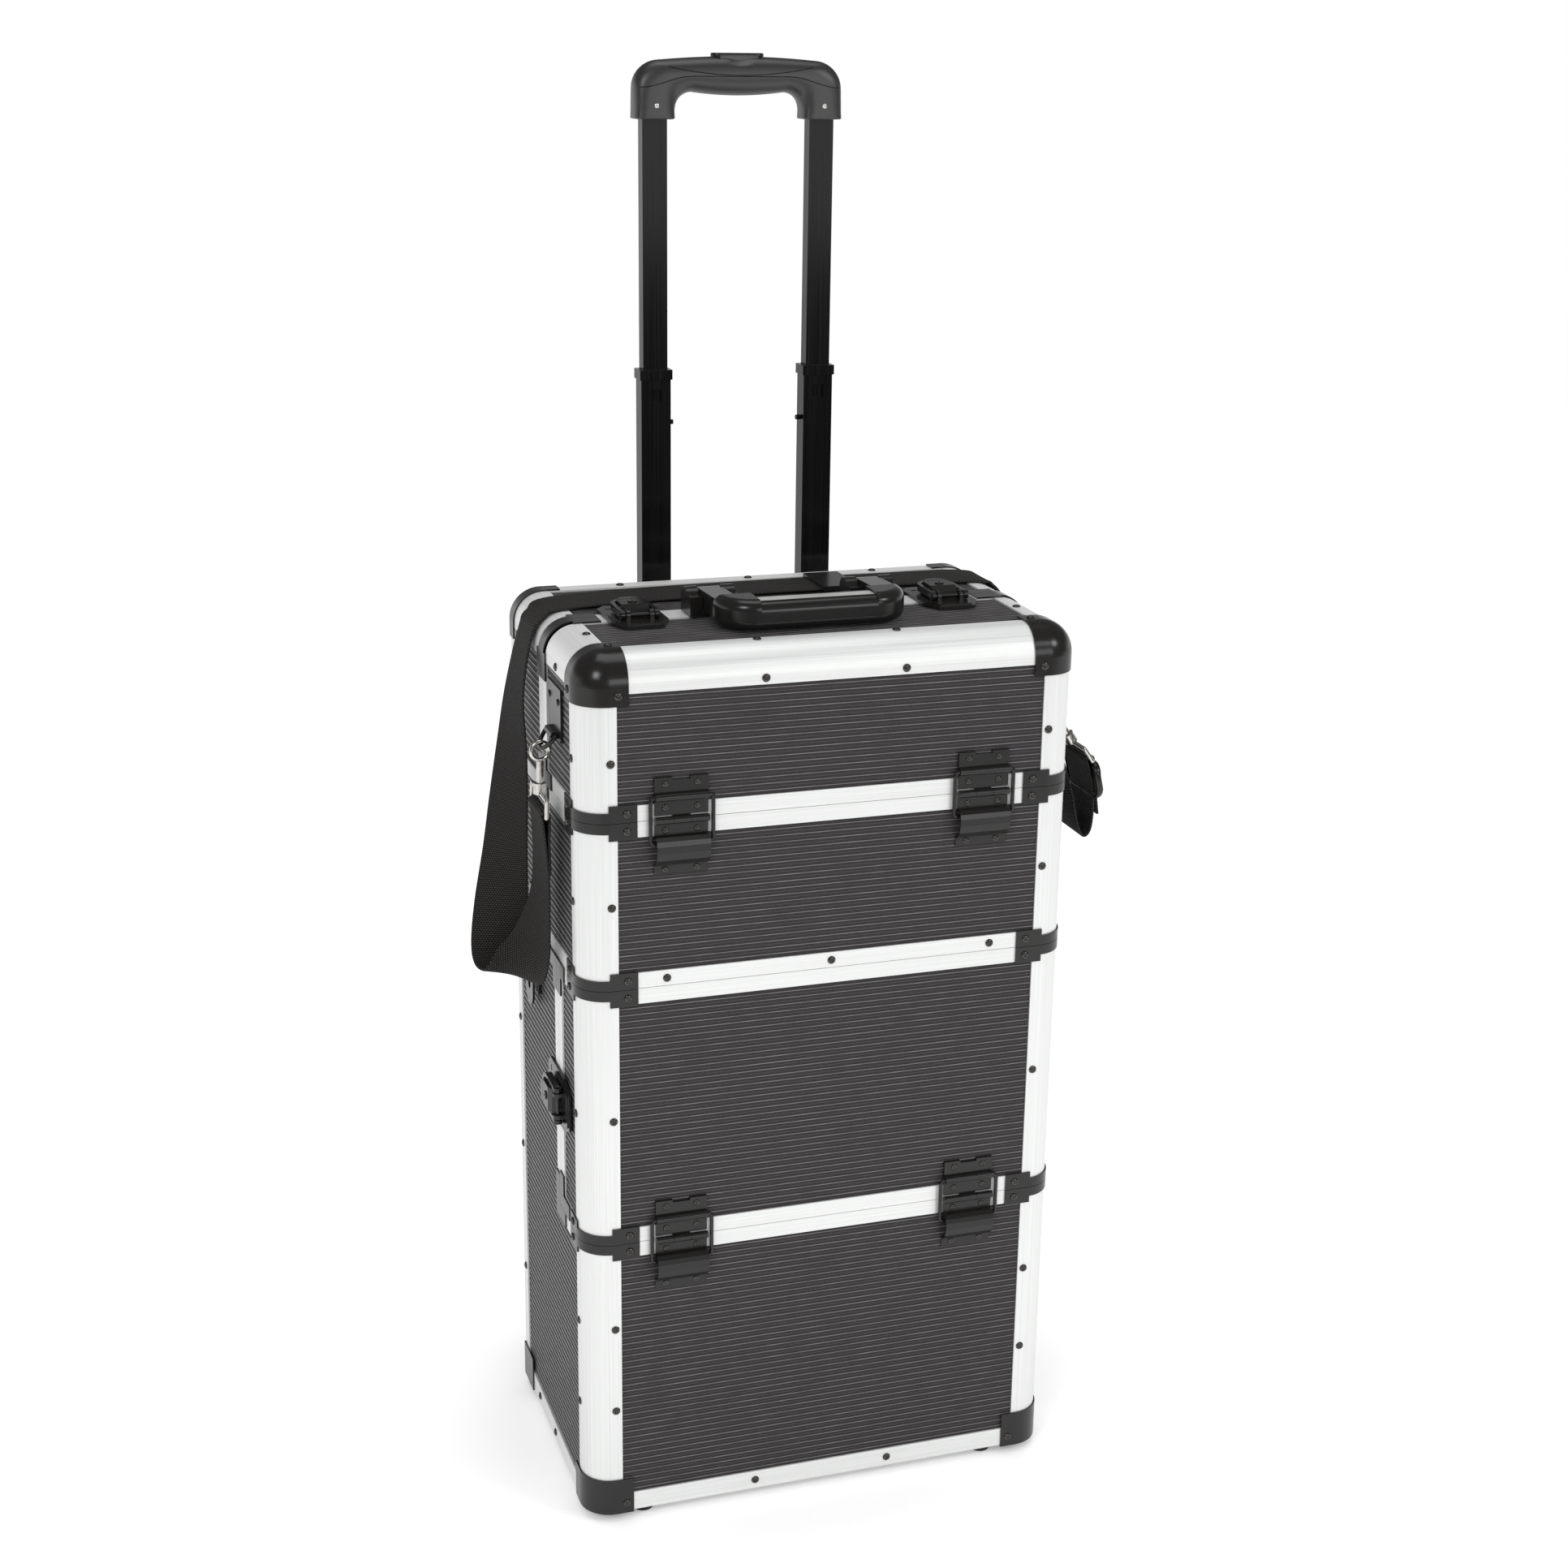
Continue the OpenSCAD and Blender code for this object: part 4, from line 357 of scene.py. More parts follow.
def end_group(g, instances, given, result):
    """The end of each group: real geometry instead of instances, with its material set."""
    real = g.nodes.new("GeometryNodeRealizeInstances")
    finish = g.nodes.new("GeometryNodeSetMaterial")
    g.links.new(instances, real.inputs["Geometry"])
    g.links.new(real.outputs["Geometry"], finish.inputs["Geometry"])
    g.links.new(given.outputs["Material"], finish.inputs["Material"])
    g.links.new(finish.outputs["Geometry"], result.inputs["Geometry"])


ribs, given, result = node_group("Ribs", [
    ("Count", "NodeSocketInt"), ("Start", "NodeSocketVector"), ("Step", "NodeSocketVector"),
    ("Bar Size", "NodeSocketVector"), ("Material", "NodeSocketMaterial")])
line = ribs.nodes.new("GeometryNodeMeshLine")
bar = ribs.nodes.new("GeometryNodeMeshCube")
place = ribs.nodes.new("GeometryNodeInstanceOnPoints")
for a, b in ((given.outputs["Count"], line.inputs["Count"]),
             (given.outputs["Start"], line.inputs["Start Location"]),
             (given.outputs["Step"], line.inputs["Offset"]),
             (given.outputs["Bar Size"], bar.inputs["Size"]),
             (line.outputs["Mesh"], place.inputs["Points"]),
             (bar.outputs["Mesh"], place.inputs["Instance"])):
    ribs.links.new(a, b)
end_group(ribs, place.outputs["Instances"], given, result)
print("Rib group:", len(ribs.nodes), "nodes")

# %% [markdown]
# The group runs as a modifier on an empty mesh. Its inputs are set by their identifiers, and the
# result becomes a plain mesh at once. On the front the ribs are narrow lines of light, and on the
# sides, seen at a flat angle, they read much wider, so their width is set for each.

# %% One field of ribs
X, Y, Z = 0, 1, 2
PITCH, RIB_W, SIDE_RIB_W, RIB_H = 5.35, 0.7, 1.9, 0.4
FINE_W, FINE_H = 0.45, 0.15


def show(name, mesh):
    """A new object in the scene, at the origin."""
    obj = bpy.data.objects.new(name, mesh)
    bpy.context.collection.objects.link(obj)
    return obj


def run_group(name, group, values, source=None):
    """Runs a group on a mesh and returns the result as a plain mesh object."""
    obj = show(name, source if source else bpy.data.meshes.new(name))
    mod = obj.modifiers.new(name, "NODES")
    mod.node_group = group
    for item in group.interface.items_tree:
        if item.item_type == "SOCKET" and item.in_out == "INPUT" and item.name in values:
            mod[item.identifier] = values[item.name]
    bpy.context.view_layer.update()
    evaluated = obj.evaluated_get(bpy.context.evaluated_depsgraph_get())
    result = bpy.data.meshes.new_from_object(evaluated)
    obj.modifiers.clear()
    obj.data = result
    return obj


def bars(low, high, thin, run, across, shift, width, material):
    """A row of bars in the box low-high, each shifted by a share of the pitch."""
    span = high[across] - low[across]
    whole = int(span // PITCH)
    start = [(a + b) / 2 for a, b in zip(low, high)]
    start[across] -= (whole - 1) * PITCH / 2 - shift * PITCH
    step = Vector((0, 0, 0))
    step[across] = PITCH / MM
    size = [0.0, 0.0, 0.0]
    size[run] = high[run] - low[run]
    size[thin] = high[thin] - low[thin]
    size[across] = width
    return run_group("field", ribs, {"Count": whole - (1 if shift else 0), "Start": at(*start),
                                     "Step": step, "Bar Size": Vector(size) / MM,
                                     "Material": material})


def rib_field(low, high, thin, run, across, outward):
    """Ribs in the box low-high, with a finer one halfway between each two of them."""
    fine_low, fine_high = list(low), list(high)
    if outward > 0:
        fine_high[thin] = low[thin] + FINE_H
    else:
        fine_low[thin] = high[thin] - FINE_H
    width = SIDE_RIB_W if thin == X else RIB_W
    return [bars(low, high, thin, run, across, 0.0, width, painted_highlight_rib),
            bars(fine_low, fine_high, thin, run, across, 0.5, FINE_W, painted_highlight_fine_rib)]


print("A 100 mm field holds", int(100 // PITCH), "ribs")

# %% [markdown]
# Each panel is seen between its profiles. Its field of ribs is a thin box: across the front between
# two seams, on each side between the front profile and the body's back edge, and on the back and
# the top where the body has one. A rib's ends reach under the profile's edge.

# %% Where each body has its fields
BASE_STRIP = 16.0  # height of the bottom edge strip
front_fields = {
    "tub": (BASE_STRIP, SEAM_DOOR - STRIP), "door": (SEAM_DOOR + STRIP, SEAM_CASE - STRIP),
    "tray": (SEAM_CASE + STRIP, SEAM_LID - STRIP), "lid": (SEAM_LID + STRIP, TOP - FLANGE)}
side_fields = {
    "tub": [(FLANGE, DOOR_D + STRIP, BASE_STRIP, SEAM_DOOR - STRIP),
            (DOOR_D + STRIP, CASE_D - ANGLE, BASE_STRIP, SEAM_CASE - STRIP)],
    "door": [(FLANGE, DOOR_D - STRIP, SEAM_DOOR + STRIP, SEAM_CASE - STRIP)],
    "tray": [(FLANGE, LID_D + STRIP, SEAM_CASE + STRIP, SEAM_LID - STRIP),
             (LID_D + STRIP, CASE_D - ANGLE, SEAM_CASE + STRIP, TOP - FLANGE)],
    "lid": [(FLANGE, LID_D - STRIP, SEAM_LID + STRIP, TOP - FLANGE)]}
back_fields = {"tub": (BASE_STRIP, SEAM_CASE - STRIP), "tray": (SEAM_CASE + STRIP, TOP - ANGLE)}
top_fields = {"lid": (FLANGE, LID_D - STRIP), "tray": (LID_D + STRIP, CASE_D - ANGLE)}
print("Side fields:", {body: len(fields) for body, fields in side_fields.items()})

# %% All fields of a body
UNDER = 1.0  # how far a rib's end reaches under the profile
front_half, back_half = HALF - FLANGE + UNDER, HALF - ANGLE


def fields_of(body):
    """Every field of ribs on one body."""
    z0, z1 = front_fields[body]
    fields = rib_field((-front_half, SKIN - RIB_H, z0), (front_half, SKIN, z1), Y, X, Z, -1)
    for y0, y1, z0, z1 in side_fields[body]:
        fields += rib_field((-HALF + SKIN - RIB_H, y0, z0), (-HALF + SKIN, y1, z1), X, Y, Z, -1)
        fields += rib_field((HALF - SKIN, y0, z0), (HALF - SKIN + RIB_H, y1, z1), X, Y, Z, 1)
    if body in back_fields:
        z0, z1 = back_fields[body]
        fields += rib_field((-back_half, CASE_D - SKIN, z0),
                            (back_half, CASE_D - SKIN + RIB_H, z1), Y, X, Z, 1)
    if body in top_fields:
        y0, y1 = top_fields[body]
        fields += rib_field((-front_half, y0, TOP - SKIN),
                            (front_half, y1, TOP - SKIN + RIB_H), Z, X, Y, 1)
    return fields


print("A front rib is", 2 * front_half, "mm long")

# %% [markdown]
# All ribs of one body swing together, so they become one mesh for each body. Blender's own join
# would need a selection. This one copies the faces, and keeps the material of each.

# %% Ribs on every panel
def plain_mesh(name, bm):
    """Turns a bmesh into a mesh and frees it."""
    mesh = bpy.data.meshes.new(name)
    bm.to_mesh(mesh)
    bm.free()
    return mesh


def join(name, objects):
    """One mesh from several objects; each face keeps its material."""
    finishes = []
    for o in objects:
        finishes += [m for m in o.data.materials if m not in finishes]
    bm = bmesh.new()
    for o in objects:
        first = len(bm.faces)
        bm.from_mesh(o.data)
        bm.faces.ensure_lookup_table()
        for face in bm.faces[first:]:
            face.material_index = finishes.index(o.data.materials[face.material_index])
    mesh = plain_mesh(name, bm)
    for m in finishes:
        mesh.materials.append(m)
    for o in objects:
        bpy.data.objects.remove(o)
    return show(name, mesh)


for body in ("tub", "door", "tray", "lid"):
    piece = join("ribs_" + body, fields_of(body))
    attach(piece, body)
    print(piece.name, "has", len(piece.data.polygons) // 6, "bars")

# %% [markdown]
# ## Rivets
# The profiles are held by hollow rivets with a domed head and a dimple in the middle. In the CAD
# each one is a plain cone, which is light for the physics. A head could be placed by hand on each,
# but the cones already know where they sit, so the script reads their places and puts a head there.

# %% A turned head
def revolve(name, profile, steps=20):
    """A closed mesh from (radius, height) points in millimetres, turned about Z."""
    bm = bmesh.new()
    verts = [bm.verts.new((r / MM, 0, h / MM)) for r, h in profile]
    edges = [bm.edges.new(pair) for pair in zip(verts, verts[1:])]
    bmesh.ops.spin(bm, geom=verts + edges, axis=(0, 0, 1), cent=(0, 0, 0),
                   angle=2 * math.pi, steps=steps, use_merge=True)
    bmesh.ops.remove_doubles(bm, verts=bm.verts, dist=1e-7)
    bmesh.ops.recalc_face_normals(bm, faces=bm.faces)
    return bpy.data.objects.new(name, soften(plain_mesh(name, bm)))


def soften(mesh):
    """Smooth shading on every face."""
    for f in mesh.polygons:
        f.use_smooth = True
    return mesh


big_head = revolve("big_head", [(3.25, 0), (3.3, 0.25), (3.1, 0.75), (2.5, 1.2), (1.9, 1.4),
                                (1.55, 1.4), (1.35, 1.1), (1.2, 0.6), (0, 0.55)])
small_head = revolve("small_head", [(2.7, 0), (2.7, 0.2), (2.5, 0.65), (2.0, 0.98), (1.5, 1.08),
                                    (1.25, 1.05), (1.1, 0.75), (1.0, 0.45), (0, 0.4)], 16)
print("A big head has", len(big_head.data.polygons), "faces")

# %% [markdown]
# The group takes a cloud of points. Each point carries its outward direction as an attribute, and
# the head's axis is turned to it before the head is put there.

# %% Rivet group
heads, given, result = node_group("Rivet heads", [
    ("Geometry", "NodeSocketGeometry"), ("Head", "NodeSocketObject"),
    ("Material", "NodeSocketMaterial")])
info = heads.nodes.new("GeometryNodeObjectInfo")
outward = heads.nodes.new("GeometryNodeInputNamedAttribute")
outward.data_type = "FLOAT_VECTOR"
outward.inputs["Name"].default_value = "out"
align = heads.nodes.new("FunctionNodeAlignRotationToVector")
align.axis = "Z"
put = heads.nodes.new("GeometryNodeInstanceOnPoints")
for a, b in ((given.outputs["Geometry"], put.inputs["Points"]),
             (given.outputs["Head"], info.inputs["Object"]),
             (info.outputs["Geometry"], put.inputs["Instance"]),
             (outward.outputs["Attribute"], align.inputs["Vector"]),
             (align.outputs["Rotation"], put.inputs["Rotation"])):
    heads.links.new(a, b)
end_group(heads, put.outputs["Instances"], given, result)
print("Rivet group:", len(heads.nodes), "nodes")

# %% [markdown]
# A CAD part is one mesh of loose triangles. Merging equal corners in a copy joins each rivet's
# triangles into an island. A cone is thinnest along its axis, and its base is its wider end.

# %% Finding the cones
SAME = 1e-6  # corners nearer than this are one
LEVEL = 1e-5  # the corners of one ring differ by less than this


def islands(mesh):
    """Lists of vertex positions, one for each loose part of a mesh."""
    bm = bmesh.new()
    bm.from_mesh(mesh)
    bmesh.ops.remove_doubles(bm, verts=bm.verts, dist=SAME)
    left = set(bm.verts)
    found = []
    while left:
        group, todo = [], [left.pop()]
        while todo:
            v = todo.pop()
            group.append(v.co.copy())
            for e in v.link_edges:
                o = e.other_vert(v)
                if o in left:
                    left.remove(o)
                    todo.append(o)
        found.append(group)
    bm.free()
    return found


def cones(mesh):
    """(middle of the base, direction, base radius) of every cone in a mesh."""
    for group in islands(mesh):
        low = Vector([min(v[i] for v in group) for i in range(3)])
        high = Vector([max(v[i] for v in group) for i in range(3)])
        size, mid = high - low, (low + high) / 2
        thin = min(range(3), key=lambda i: size[i])
        reach = [max((v - mid).length for v in group if abs(v[thin] - level) < LEVEL)
                 for level in (low[thin], high[thin])]
        base, out = mid.copy(), Vector((0, 0, 0))
        base[thin], out[thin] = (low[thin], 1) if reach[0] > reach[1] else (high[thin], -1)
        yield base, out, max(size) / 2


print("The tub has", len(list(cones(NODES["tub_rivets"].data))), "rivets")

# %% [markdown]
# The case has rivets of two sizes. The cone's radius tells which head it gets.

# %% A head on every cone
SMALL_R = 0.003  # cones up to this radius get the small head
for body in ("tub", "door", "tray", "lid"):
    found = list(cones(NODES[body + "_rivets"].data))
    parts = []
    for head, spots in ((big_head, [c for c in found if c[2] > SMALL_R]),
                        (small_head, [c for c in found if c[2] <= SMALL_R])):
        cloud = bpy.data.meshes.new("spots")
        cloud.from_pydata([tuple(spot[0]) for spot in spots], [], [])
        layer = cloud.attributes.new("out", "FLOAT_VECTOR", "POINT")
        for i, spot in enumerate(spots):
            layer.data[i].vector = spot[1]
        parts.append(run_group("heads", heads, {"Head": head, "Material": rivet_black}, cloud))
    piece = join("rivets_" + body, parts)
    soften(piece.data)
    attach(piece, body)
    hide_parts(body + "_rivets")
    print(piece.name, "has", len(found), "heads")

# %% [markdown]
# ## Insert of the carrying handle
# A grey strip is pressed into the top of the black handle. It could be a stripe of colour on the
# handle, but it has its own rounded edge that catches light. So a plan outline is extruded upwards
# and its edges are bevelled. The same function makes the grip's button later.

# %% Handle insert
INSERT_HALF, INSERT_FRONT, INSERT_BACK = 46.7, 48.2, 60.3
INSERT_LOW, INSERT_HIGH, INSERT_EDGE = 22.35, 23.4, 0.35  # heights above the lid
CORNER = 0.9  # radians: edges that turn more than this are rounded


def new_piece(name, mesh, material, smooth_faces=False):
    """A new visible piece with its finish."""
    obj = show(name, mesh)
    paint(obj, material)
    for f in mesh.polygons:
        f.use_smooth = smooth_faces
    return obj


def prism(name, outline, low, high, edge, material):
    """A plan outline in millimetres of the case, from low to high, with its edges rounded."""
    bm = bmesh.new()
    face = bm.faces.new([bm.verts.new(at(x, y, low)) for x, y in outline])
    top = bmesh.ops.extrude_face_region(bm, geom=[face])["geom"]
    moved = [g for g in top if isinstance(g, bmesh.types.BMVert)]
    bmesh.ops.translate(bm, verts=moved, vec=(0, 0, (high - low) / MM))
    bmesh.ops.recalc_face_normals(bm, faces=bm.faces)
    rim = [e for e in bm.edges if e.calc_face_angle(0) > CORNER]
    bmesh.ops.bevel(bm, geom=rim, offset=edge / MM, segments=3, affect="EDGES", profile=0.6)
    return new_piece(name, plain_mesh(name, bm), material)


insert = prism("handle_insert", [(-INSERT_HALF, INSERT_FRONT), (INSERT_HALF, INSERT_FRONT),
                                 (INSERT_HALF, INSERT_BACK), (-INSERT_HALF, INSERT_BACK)],
               TOP + INSERT_LOW, TOP + INSERT_HIGH, INSERT_EDGE, insert_grey)
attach(insert, "carry_handle")
print("The insert is", 2 * INSERT_HALF, "mm long")

# %% [markdown]
# ## Trolley grip
# The grip is one moulded shell: two square legs over the tubes, round elbows and a bowed bar to
# hold. It could be carved from a block with Subdivision Surface, but then its size would only be
# near the real one. Here two lines are drawn in front view, the outer and the inner outline of half
# the grip, and rings are swept between them. A ring changes from a box on the leg to a round bar.

# %% Outlines of the grip
GRIP_Y, GRIP_DEEP = 269.0, 13.6
LEG_OUT, LEG_IN, LEG_LOW = 86.5, 53.5, 1088.0
CROWN, SHOULDER, OUT_RX, OUT_RZ = 1136.3, 1133.4, 22.0, 21.0
BELLY, ARMPIT, IN_R = 1106.1, 1108.7, 15.0
ARC_STEPS, BOW_STEPS, BOW_SPLIT = 10, 30, 10


def arc(cx, cz, rx, rz, first, last):
    """Points of an elliptic arc in front view, between two angles in degrees."""
    angles = [math.radians(first + (last - first) * k / ARC_STEPS) for k in range(ARC_STEPS + 1)]
    return [(cx + rx * math.cos(a), cz + rz * math.sin(a)) for a in angles]


def bowed(x0, z0, z_mid):
    """From (x0, z0) to the middle of the grip along a parabola."""
    return [(x0 * (1 - k / BOW_STEPS), z_mid + (z0 - z_mid) * (1 - k / BOW_STEPS) ** 2)
            for k in range(1, BOW_STEPS + 1)]


elbow = (LEG_OUT - OUT_RX, SHOULDER - OUT_RZ, OUT_RX, OUT_RZ)
crook_x, crook_z = LEG_IN - IN_R, ARMPIT - IN_R
crook = (crook_x, crook_z, IN_R, IN_R)
crown_line = bowed(elbow[0], SHOULDER, CROWN)
outer_parts = [[(LEG_OUT, LEG_LOW), (LEG_OUT, crook_z)],
               [(LEG_OUT, crook_z)] + arc(*elbow, 0, 45),
               arc(*elbow, 45, 90) + crown_line[:BOW_SPLIT],
               crown_line[BOW_SPLIT - 1:]]
inner_parts = [[(LEG_IN, LEG_LOW), (LEG_IN, crook_z)],
               arc(*crook, 0, 45),
               arc(*crook, 45, 90),
               [(crook_x, ARMPIT)] + bowed(crook_x, ARMPIT, BELLY)]
print("The grip is", 2 * LEG_OUT, "mm wide and", round(CROWN - LEG_LOW, 1), "mm high")

# %% [markdown]
# The rings are counted for each of the four parts of the outline. Each ring knows its outer and
# inner point, its squareness and its size. The left half is the right half in a mirror. Two smaller
# rings at the lower end round the legs' rims.

# %% Rings along the grip
SQUARE = (5.0, 4.2, 2.7, 2.2, 2.15)  # a box round the tube, a round bar to hold
SECTIONS = (4, 12, 12, 24)
RIM_SIZES, RIM_LIFT, RIM_SHARE = (0.93, 0.975), 0.9, 0.3


def along(points, share):
    """The point at a share of the length of a line."""
    p = np.array(points)
    run = np.concatenate([[0], np.cumsum(np.hypot(*np.diff(p, axis=0).T))])
    return np.array([np.interp(share * run[-1], run, p[:, n]) for n in (0, 1)])


halves = []
for n, steps in enumerate(SECTIONS):
    for k in range(steps + (1 if n == len(SECTIONS) - 1 else 0)):
        t = k / steps
        halves.append((along(outer_parts[n], t), along(inner_parts[n], t),
                       SQUARE[n] * (1 - t) + SQUARE[n + 1] * t, 1.0))
low_outer, low_inner, squareness, size = halves[0]
lift = np.array([0, RIM_LIFT])
halves[0] = (low_outer + lift, low_inner + lift, squareness, size)
halves = [(low_outer, low_inner, squareness, RIM_SIZES[0]),
          (low_outer + RIM_SHARE * lift, low_inner + RIM_SHARE * lift, squareness,
           RIM_SIZES[1])] + halves
whole_run = halves + [(np.array([-o[0], o[1]]), np.array([-i[0], i[1]]), e, f)
                      for o, i, e, f in halves[-2::-1]]
print("The grip has", len(whole_run), "rings")

# %% [markdown]
# Each ring is a superellipse: a power above 2 squares a circle. A shallow thumb dish is pressed
# into the front, below the button.

# %% Grip shell
RING_POINTS = 56
DISH_HALF, DISH_Z, DISH_TALL, DISH_DEEP = 11.0, 1133.0, 4.2, 2.2


def power(value, squareness):
    """A sine or cosine bent towards the corners of a square."""
    return math.copysign(abs(value) ** (2 / squareness), value)


def wrap(bm, rings, closed=False):
    """Faces from ring to ring, and round again or over both ends; all point outwards."""
    count = len(rings[0])
    for a, b in zip(rings, rings[1:] + (rings[:1] if closed else [])):
        for k in range(count):
            bm.faces.new((a[k], a[(k + 1) % count], b[(k + 1) % count], b[k]))
    if not closed:
        bm.faces.new(rings[0])
        bm.faces.new(rings[-1])
    bmesh.ops.recalc_face_normals(bm, faces=bm.faces)


bm = bmesh.new()
rings = []
for o, i, squareness, size in whole_run:
    mid, half = (o + i) / 2, (o - i) / 2 * size
    ring = []
    for k in range(RING_POINTS):
        a = 2 * math.pi * k / RING_POINTS
        x, z = mid + power(math.cos(a), squareness) * half
        y = power(math.sin(a), squareness) * GRIP_DEEP * size
        far = (x / DISH_HALF) ** 2 + ((z - DISH_Z) / DISH_TALL) ** 2
        if y < 0 and far < 1:
            y += DISH_DEEP * (1 - far) ** 1.5
        ring.append(bm.verts.new(at(x, GRIP_Y + y, z)))
    rings.append(ring)
wrap(bm, rings)
grip_mesh = plain_mesh("grip_shell", bm)
grip = new_piece("grip_shell", grip_mesh, soft_grip, True)
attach(grip, "tele_inner")
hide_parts("tele_grip")
print("Grip shell:", len(grip_mesh.polygons), "faces")

# %% [markdown]
# ## Release button
# The button lies in the crown of the grip, an oval with round ends. A cylinder scaled to an oval
# would have pointed ends, so its plan is drawn from two half circles and goes through the prism.

# %% Button cap
BUTTON_W, BUTTON_D, BUTTON_DOWN, BUTTON_UP, BUTTON_EDGE = 44.0, 13.0, 6.0, 2.6, 1.6


def oval(width, depth, middle_y, steps=12):
    """An oval plan with round ends."""
    r = depth / 2
    points = []
    for side, first in ((1, -90), (-1, 90)):
        for k in range(steps + 1):
            a = math.radians(first + 180 * k / steps)
            points.append((side * (width / 2 - r) + r * math.cos(a), middle_y + r * math.sin(a)))
    return points


button = prism("button_cap", oval(BUTTON_W, BUTTON_D, GRIP_Y), CROWN - BUTTON_DOWN,
               CROWN + BUTTON_UP, BUTTON_EDGE, plastic)
for f in button.data.polygons:
    f.use_smooth = abs(f.normal.z) < 0.99
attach(button, "grip_button")
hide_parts("grip_button")
print("The button stands", BUTTON_UP, "mm above the crown")

# %% [markdown]
# ## Parting lines and screws of the grip
# The soft shell is moulded over a harder core, and its edge shows as two thin lines on the front.
# They could be drawn in a texture, but the grip has no flat face to map. So points are cast at the
# grip's front from before it, and a thin tube is swept through the places they hit.

# %% Tubes on the grip
LINE_R, LINE_SIDES = 0.35, 6
grip_tree = BVHTree.FromPolygons([v.co for v in grip_mesh.vertices],
                                 [tuple(f.vertices) for f in grip_mesh.polygons])


def on_grip(x, z):
    """The point of the grip's front straight behind (x, z)."""
    return grip_tree.ray_cast(at(x, 0, z), Vector((0, 1, 0)))[0]


def tube(points, wide, thin, sides, first_axis, closed=False):
    """A round or oval tube along points; first_axis gives the direction of its wide radius."""
    bm = bmesh.new()
    rings = []
    last = len(points) - 1
    for k, p in enumerate(points):
        before, after = (k - 1, (k + 1) % (last + 1)) if closed else (max(k - 1, 0), min(k + 1, last))
        ahead = (points[after] - points[before]).normalized()
        u = first_axis(ahead)
        v = ahead.cross(u).normalized()
        turns = [2 * math.pi * j / sides for j in range(sides)]
        rings.append([bm.verts.new(p + wide / MM * math.cos(a) * u + thin / MM * math.sin(a) * v)
                      for a in turns])
    wrap(bm, rings, closed)
    return bm


def add_up(name, bms, material):
    """One piece from several bmeshes."""
    whole = bmesh.new()
    for bm in bms:
        whole.from_mesh(plain_mesh("part", bm))
    return new_piece(name, plain_mesh(name, whole), material, True)


print("The grip's front is at", [round(c, 4) for c in on_grip(0, SHOULDER - OUT_RZ)])

# %% Parting lines
UPPER_Z, UPPER_RISE, UPPER_HALF, UPPER_POINTS = 1121.9, 6.3, 60.0, 41
LOWER_Z, LOWER_FALL, LOWER_HALF, LOWER_POINTS = 1121.0, 8.6, 83.0, 61
BEND_FROM, BEND_LENGTH = 40.0, 44.0


def lower_z(x):
    """The lower line: level over the bar, then down the leg to the outside."""
    share = min(1, max(0, (abs(x) - BEND_FROM) / BEND_LENGTH))
    return LOWER_Z - LOWER_FALL * (0.5 - 0.5 * math.cos(math.pi * share))


def over_grip(ahead):
    """A direction across a line on the grip's front."""
    return ahead.cross(Vector((0, 1, 0.2))).normalized()


upper_line = [on_grip(x, UPPER_Z + UPPER_RISE * (x / UPPER_HALF) ** 2)
              for x in np.linspace(-UPPER_HALF, UPPER_HALF, UPPER_POINTS)]
lower_line = [on_grip(x, lower_z(x)) for x in np.linspace(-LOWER_HALF, LOWER_HALF, LOWER_POINTS)]
lines = add_up("grip_lines", [tube(points, LINE_R, LINE_R, LINE_SIDES, over_grip)
                              for points in (upper_line, lower_line)], tube_black)
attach(lines, "tele_inner")
print("Parting lines:", len(upper_line), "and", len(lower_line), "points")

# %% Screws in the legs
SCREW_X, SCREW_Z = 70.0, 1098.5
screw_head = revolve("screw_head", [(2.1, -0.4), (2.1, 0.2), (1.8, 0.5), (1.0, 0.7),
                                    (0.7, 0.35), (0, 0.3)], 20)
screws = []
for x in (-SCREW_X, SCREW_X):
    bm = bmesh.new()
    bm.from_mesh(screw_head.data)
    bm.transform(Matrix.Translation(on_grip(x, SCREW_Z)) @ Matrix.Rotation(math.pi / 2, 4, "X"))
    screws.append(bm)
screw_piece = add_up("grip_screws", screws, nickel)
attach(screw_piece, "tele_inner")
print("Screws:", len(screws))

# %% [markdown]
# ## Shoulder strap
# The strap is one band of webbing, 45 mm wide. It hangs from a hook on each side, rises over the
# side of the case, and lies across the top behind the handle. A cloth simulation could drape it,
# but not in the very loop that the photograph shows. So its middle line is a list of points traced
# there, each with the direction of the band's width, and a curve is run through them.

# %% Ends of the strap
STRAP_W, STRAP_T, STRAP_Y = 45.0, 2.0, 185.5
RING_Y, RING_Z, RING_OUT, RING_R, LEAN = 76.0, 644.0, 3.4, 14.0, math.radians(38)
TILT_L, TILT_R, LOOP = math.radians(2), math.radians(34), 49.0
end_x = HALF + RING_OUT + RING_R * math.sin(LEAN)
end_z = RING_Z - RING_R * math.cos(LEAN)
bar_l = Vector((-end_x - LOOP * math.sin(TILT_L), RING_Y, end_z - LOOP * math.cos(TILT_L)))
bar_r = Vector((end_x + LOOP * math.sin(TILT_R), RING_Y, end_z - LOOP * math.cos(TILT_R)))
print("The hooks' bars are at x =", round(bar_l.x, 1), "and", round(bar_r.x, 1), "mm")

# %% [markdown]
# The points on the left and right are measured from the case's side and from the lid's seam. On the
# top the band lies a little above the lid, and at the edges it comes in over the round corner.

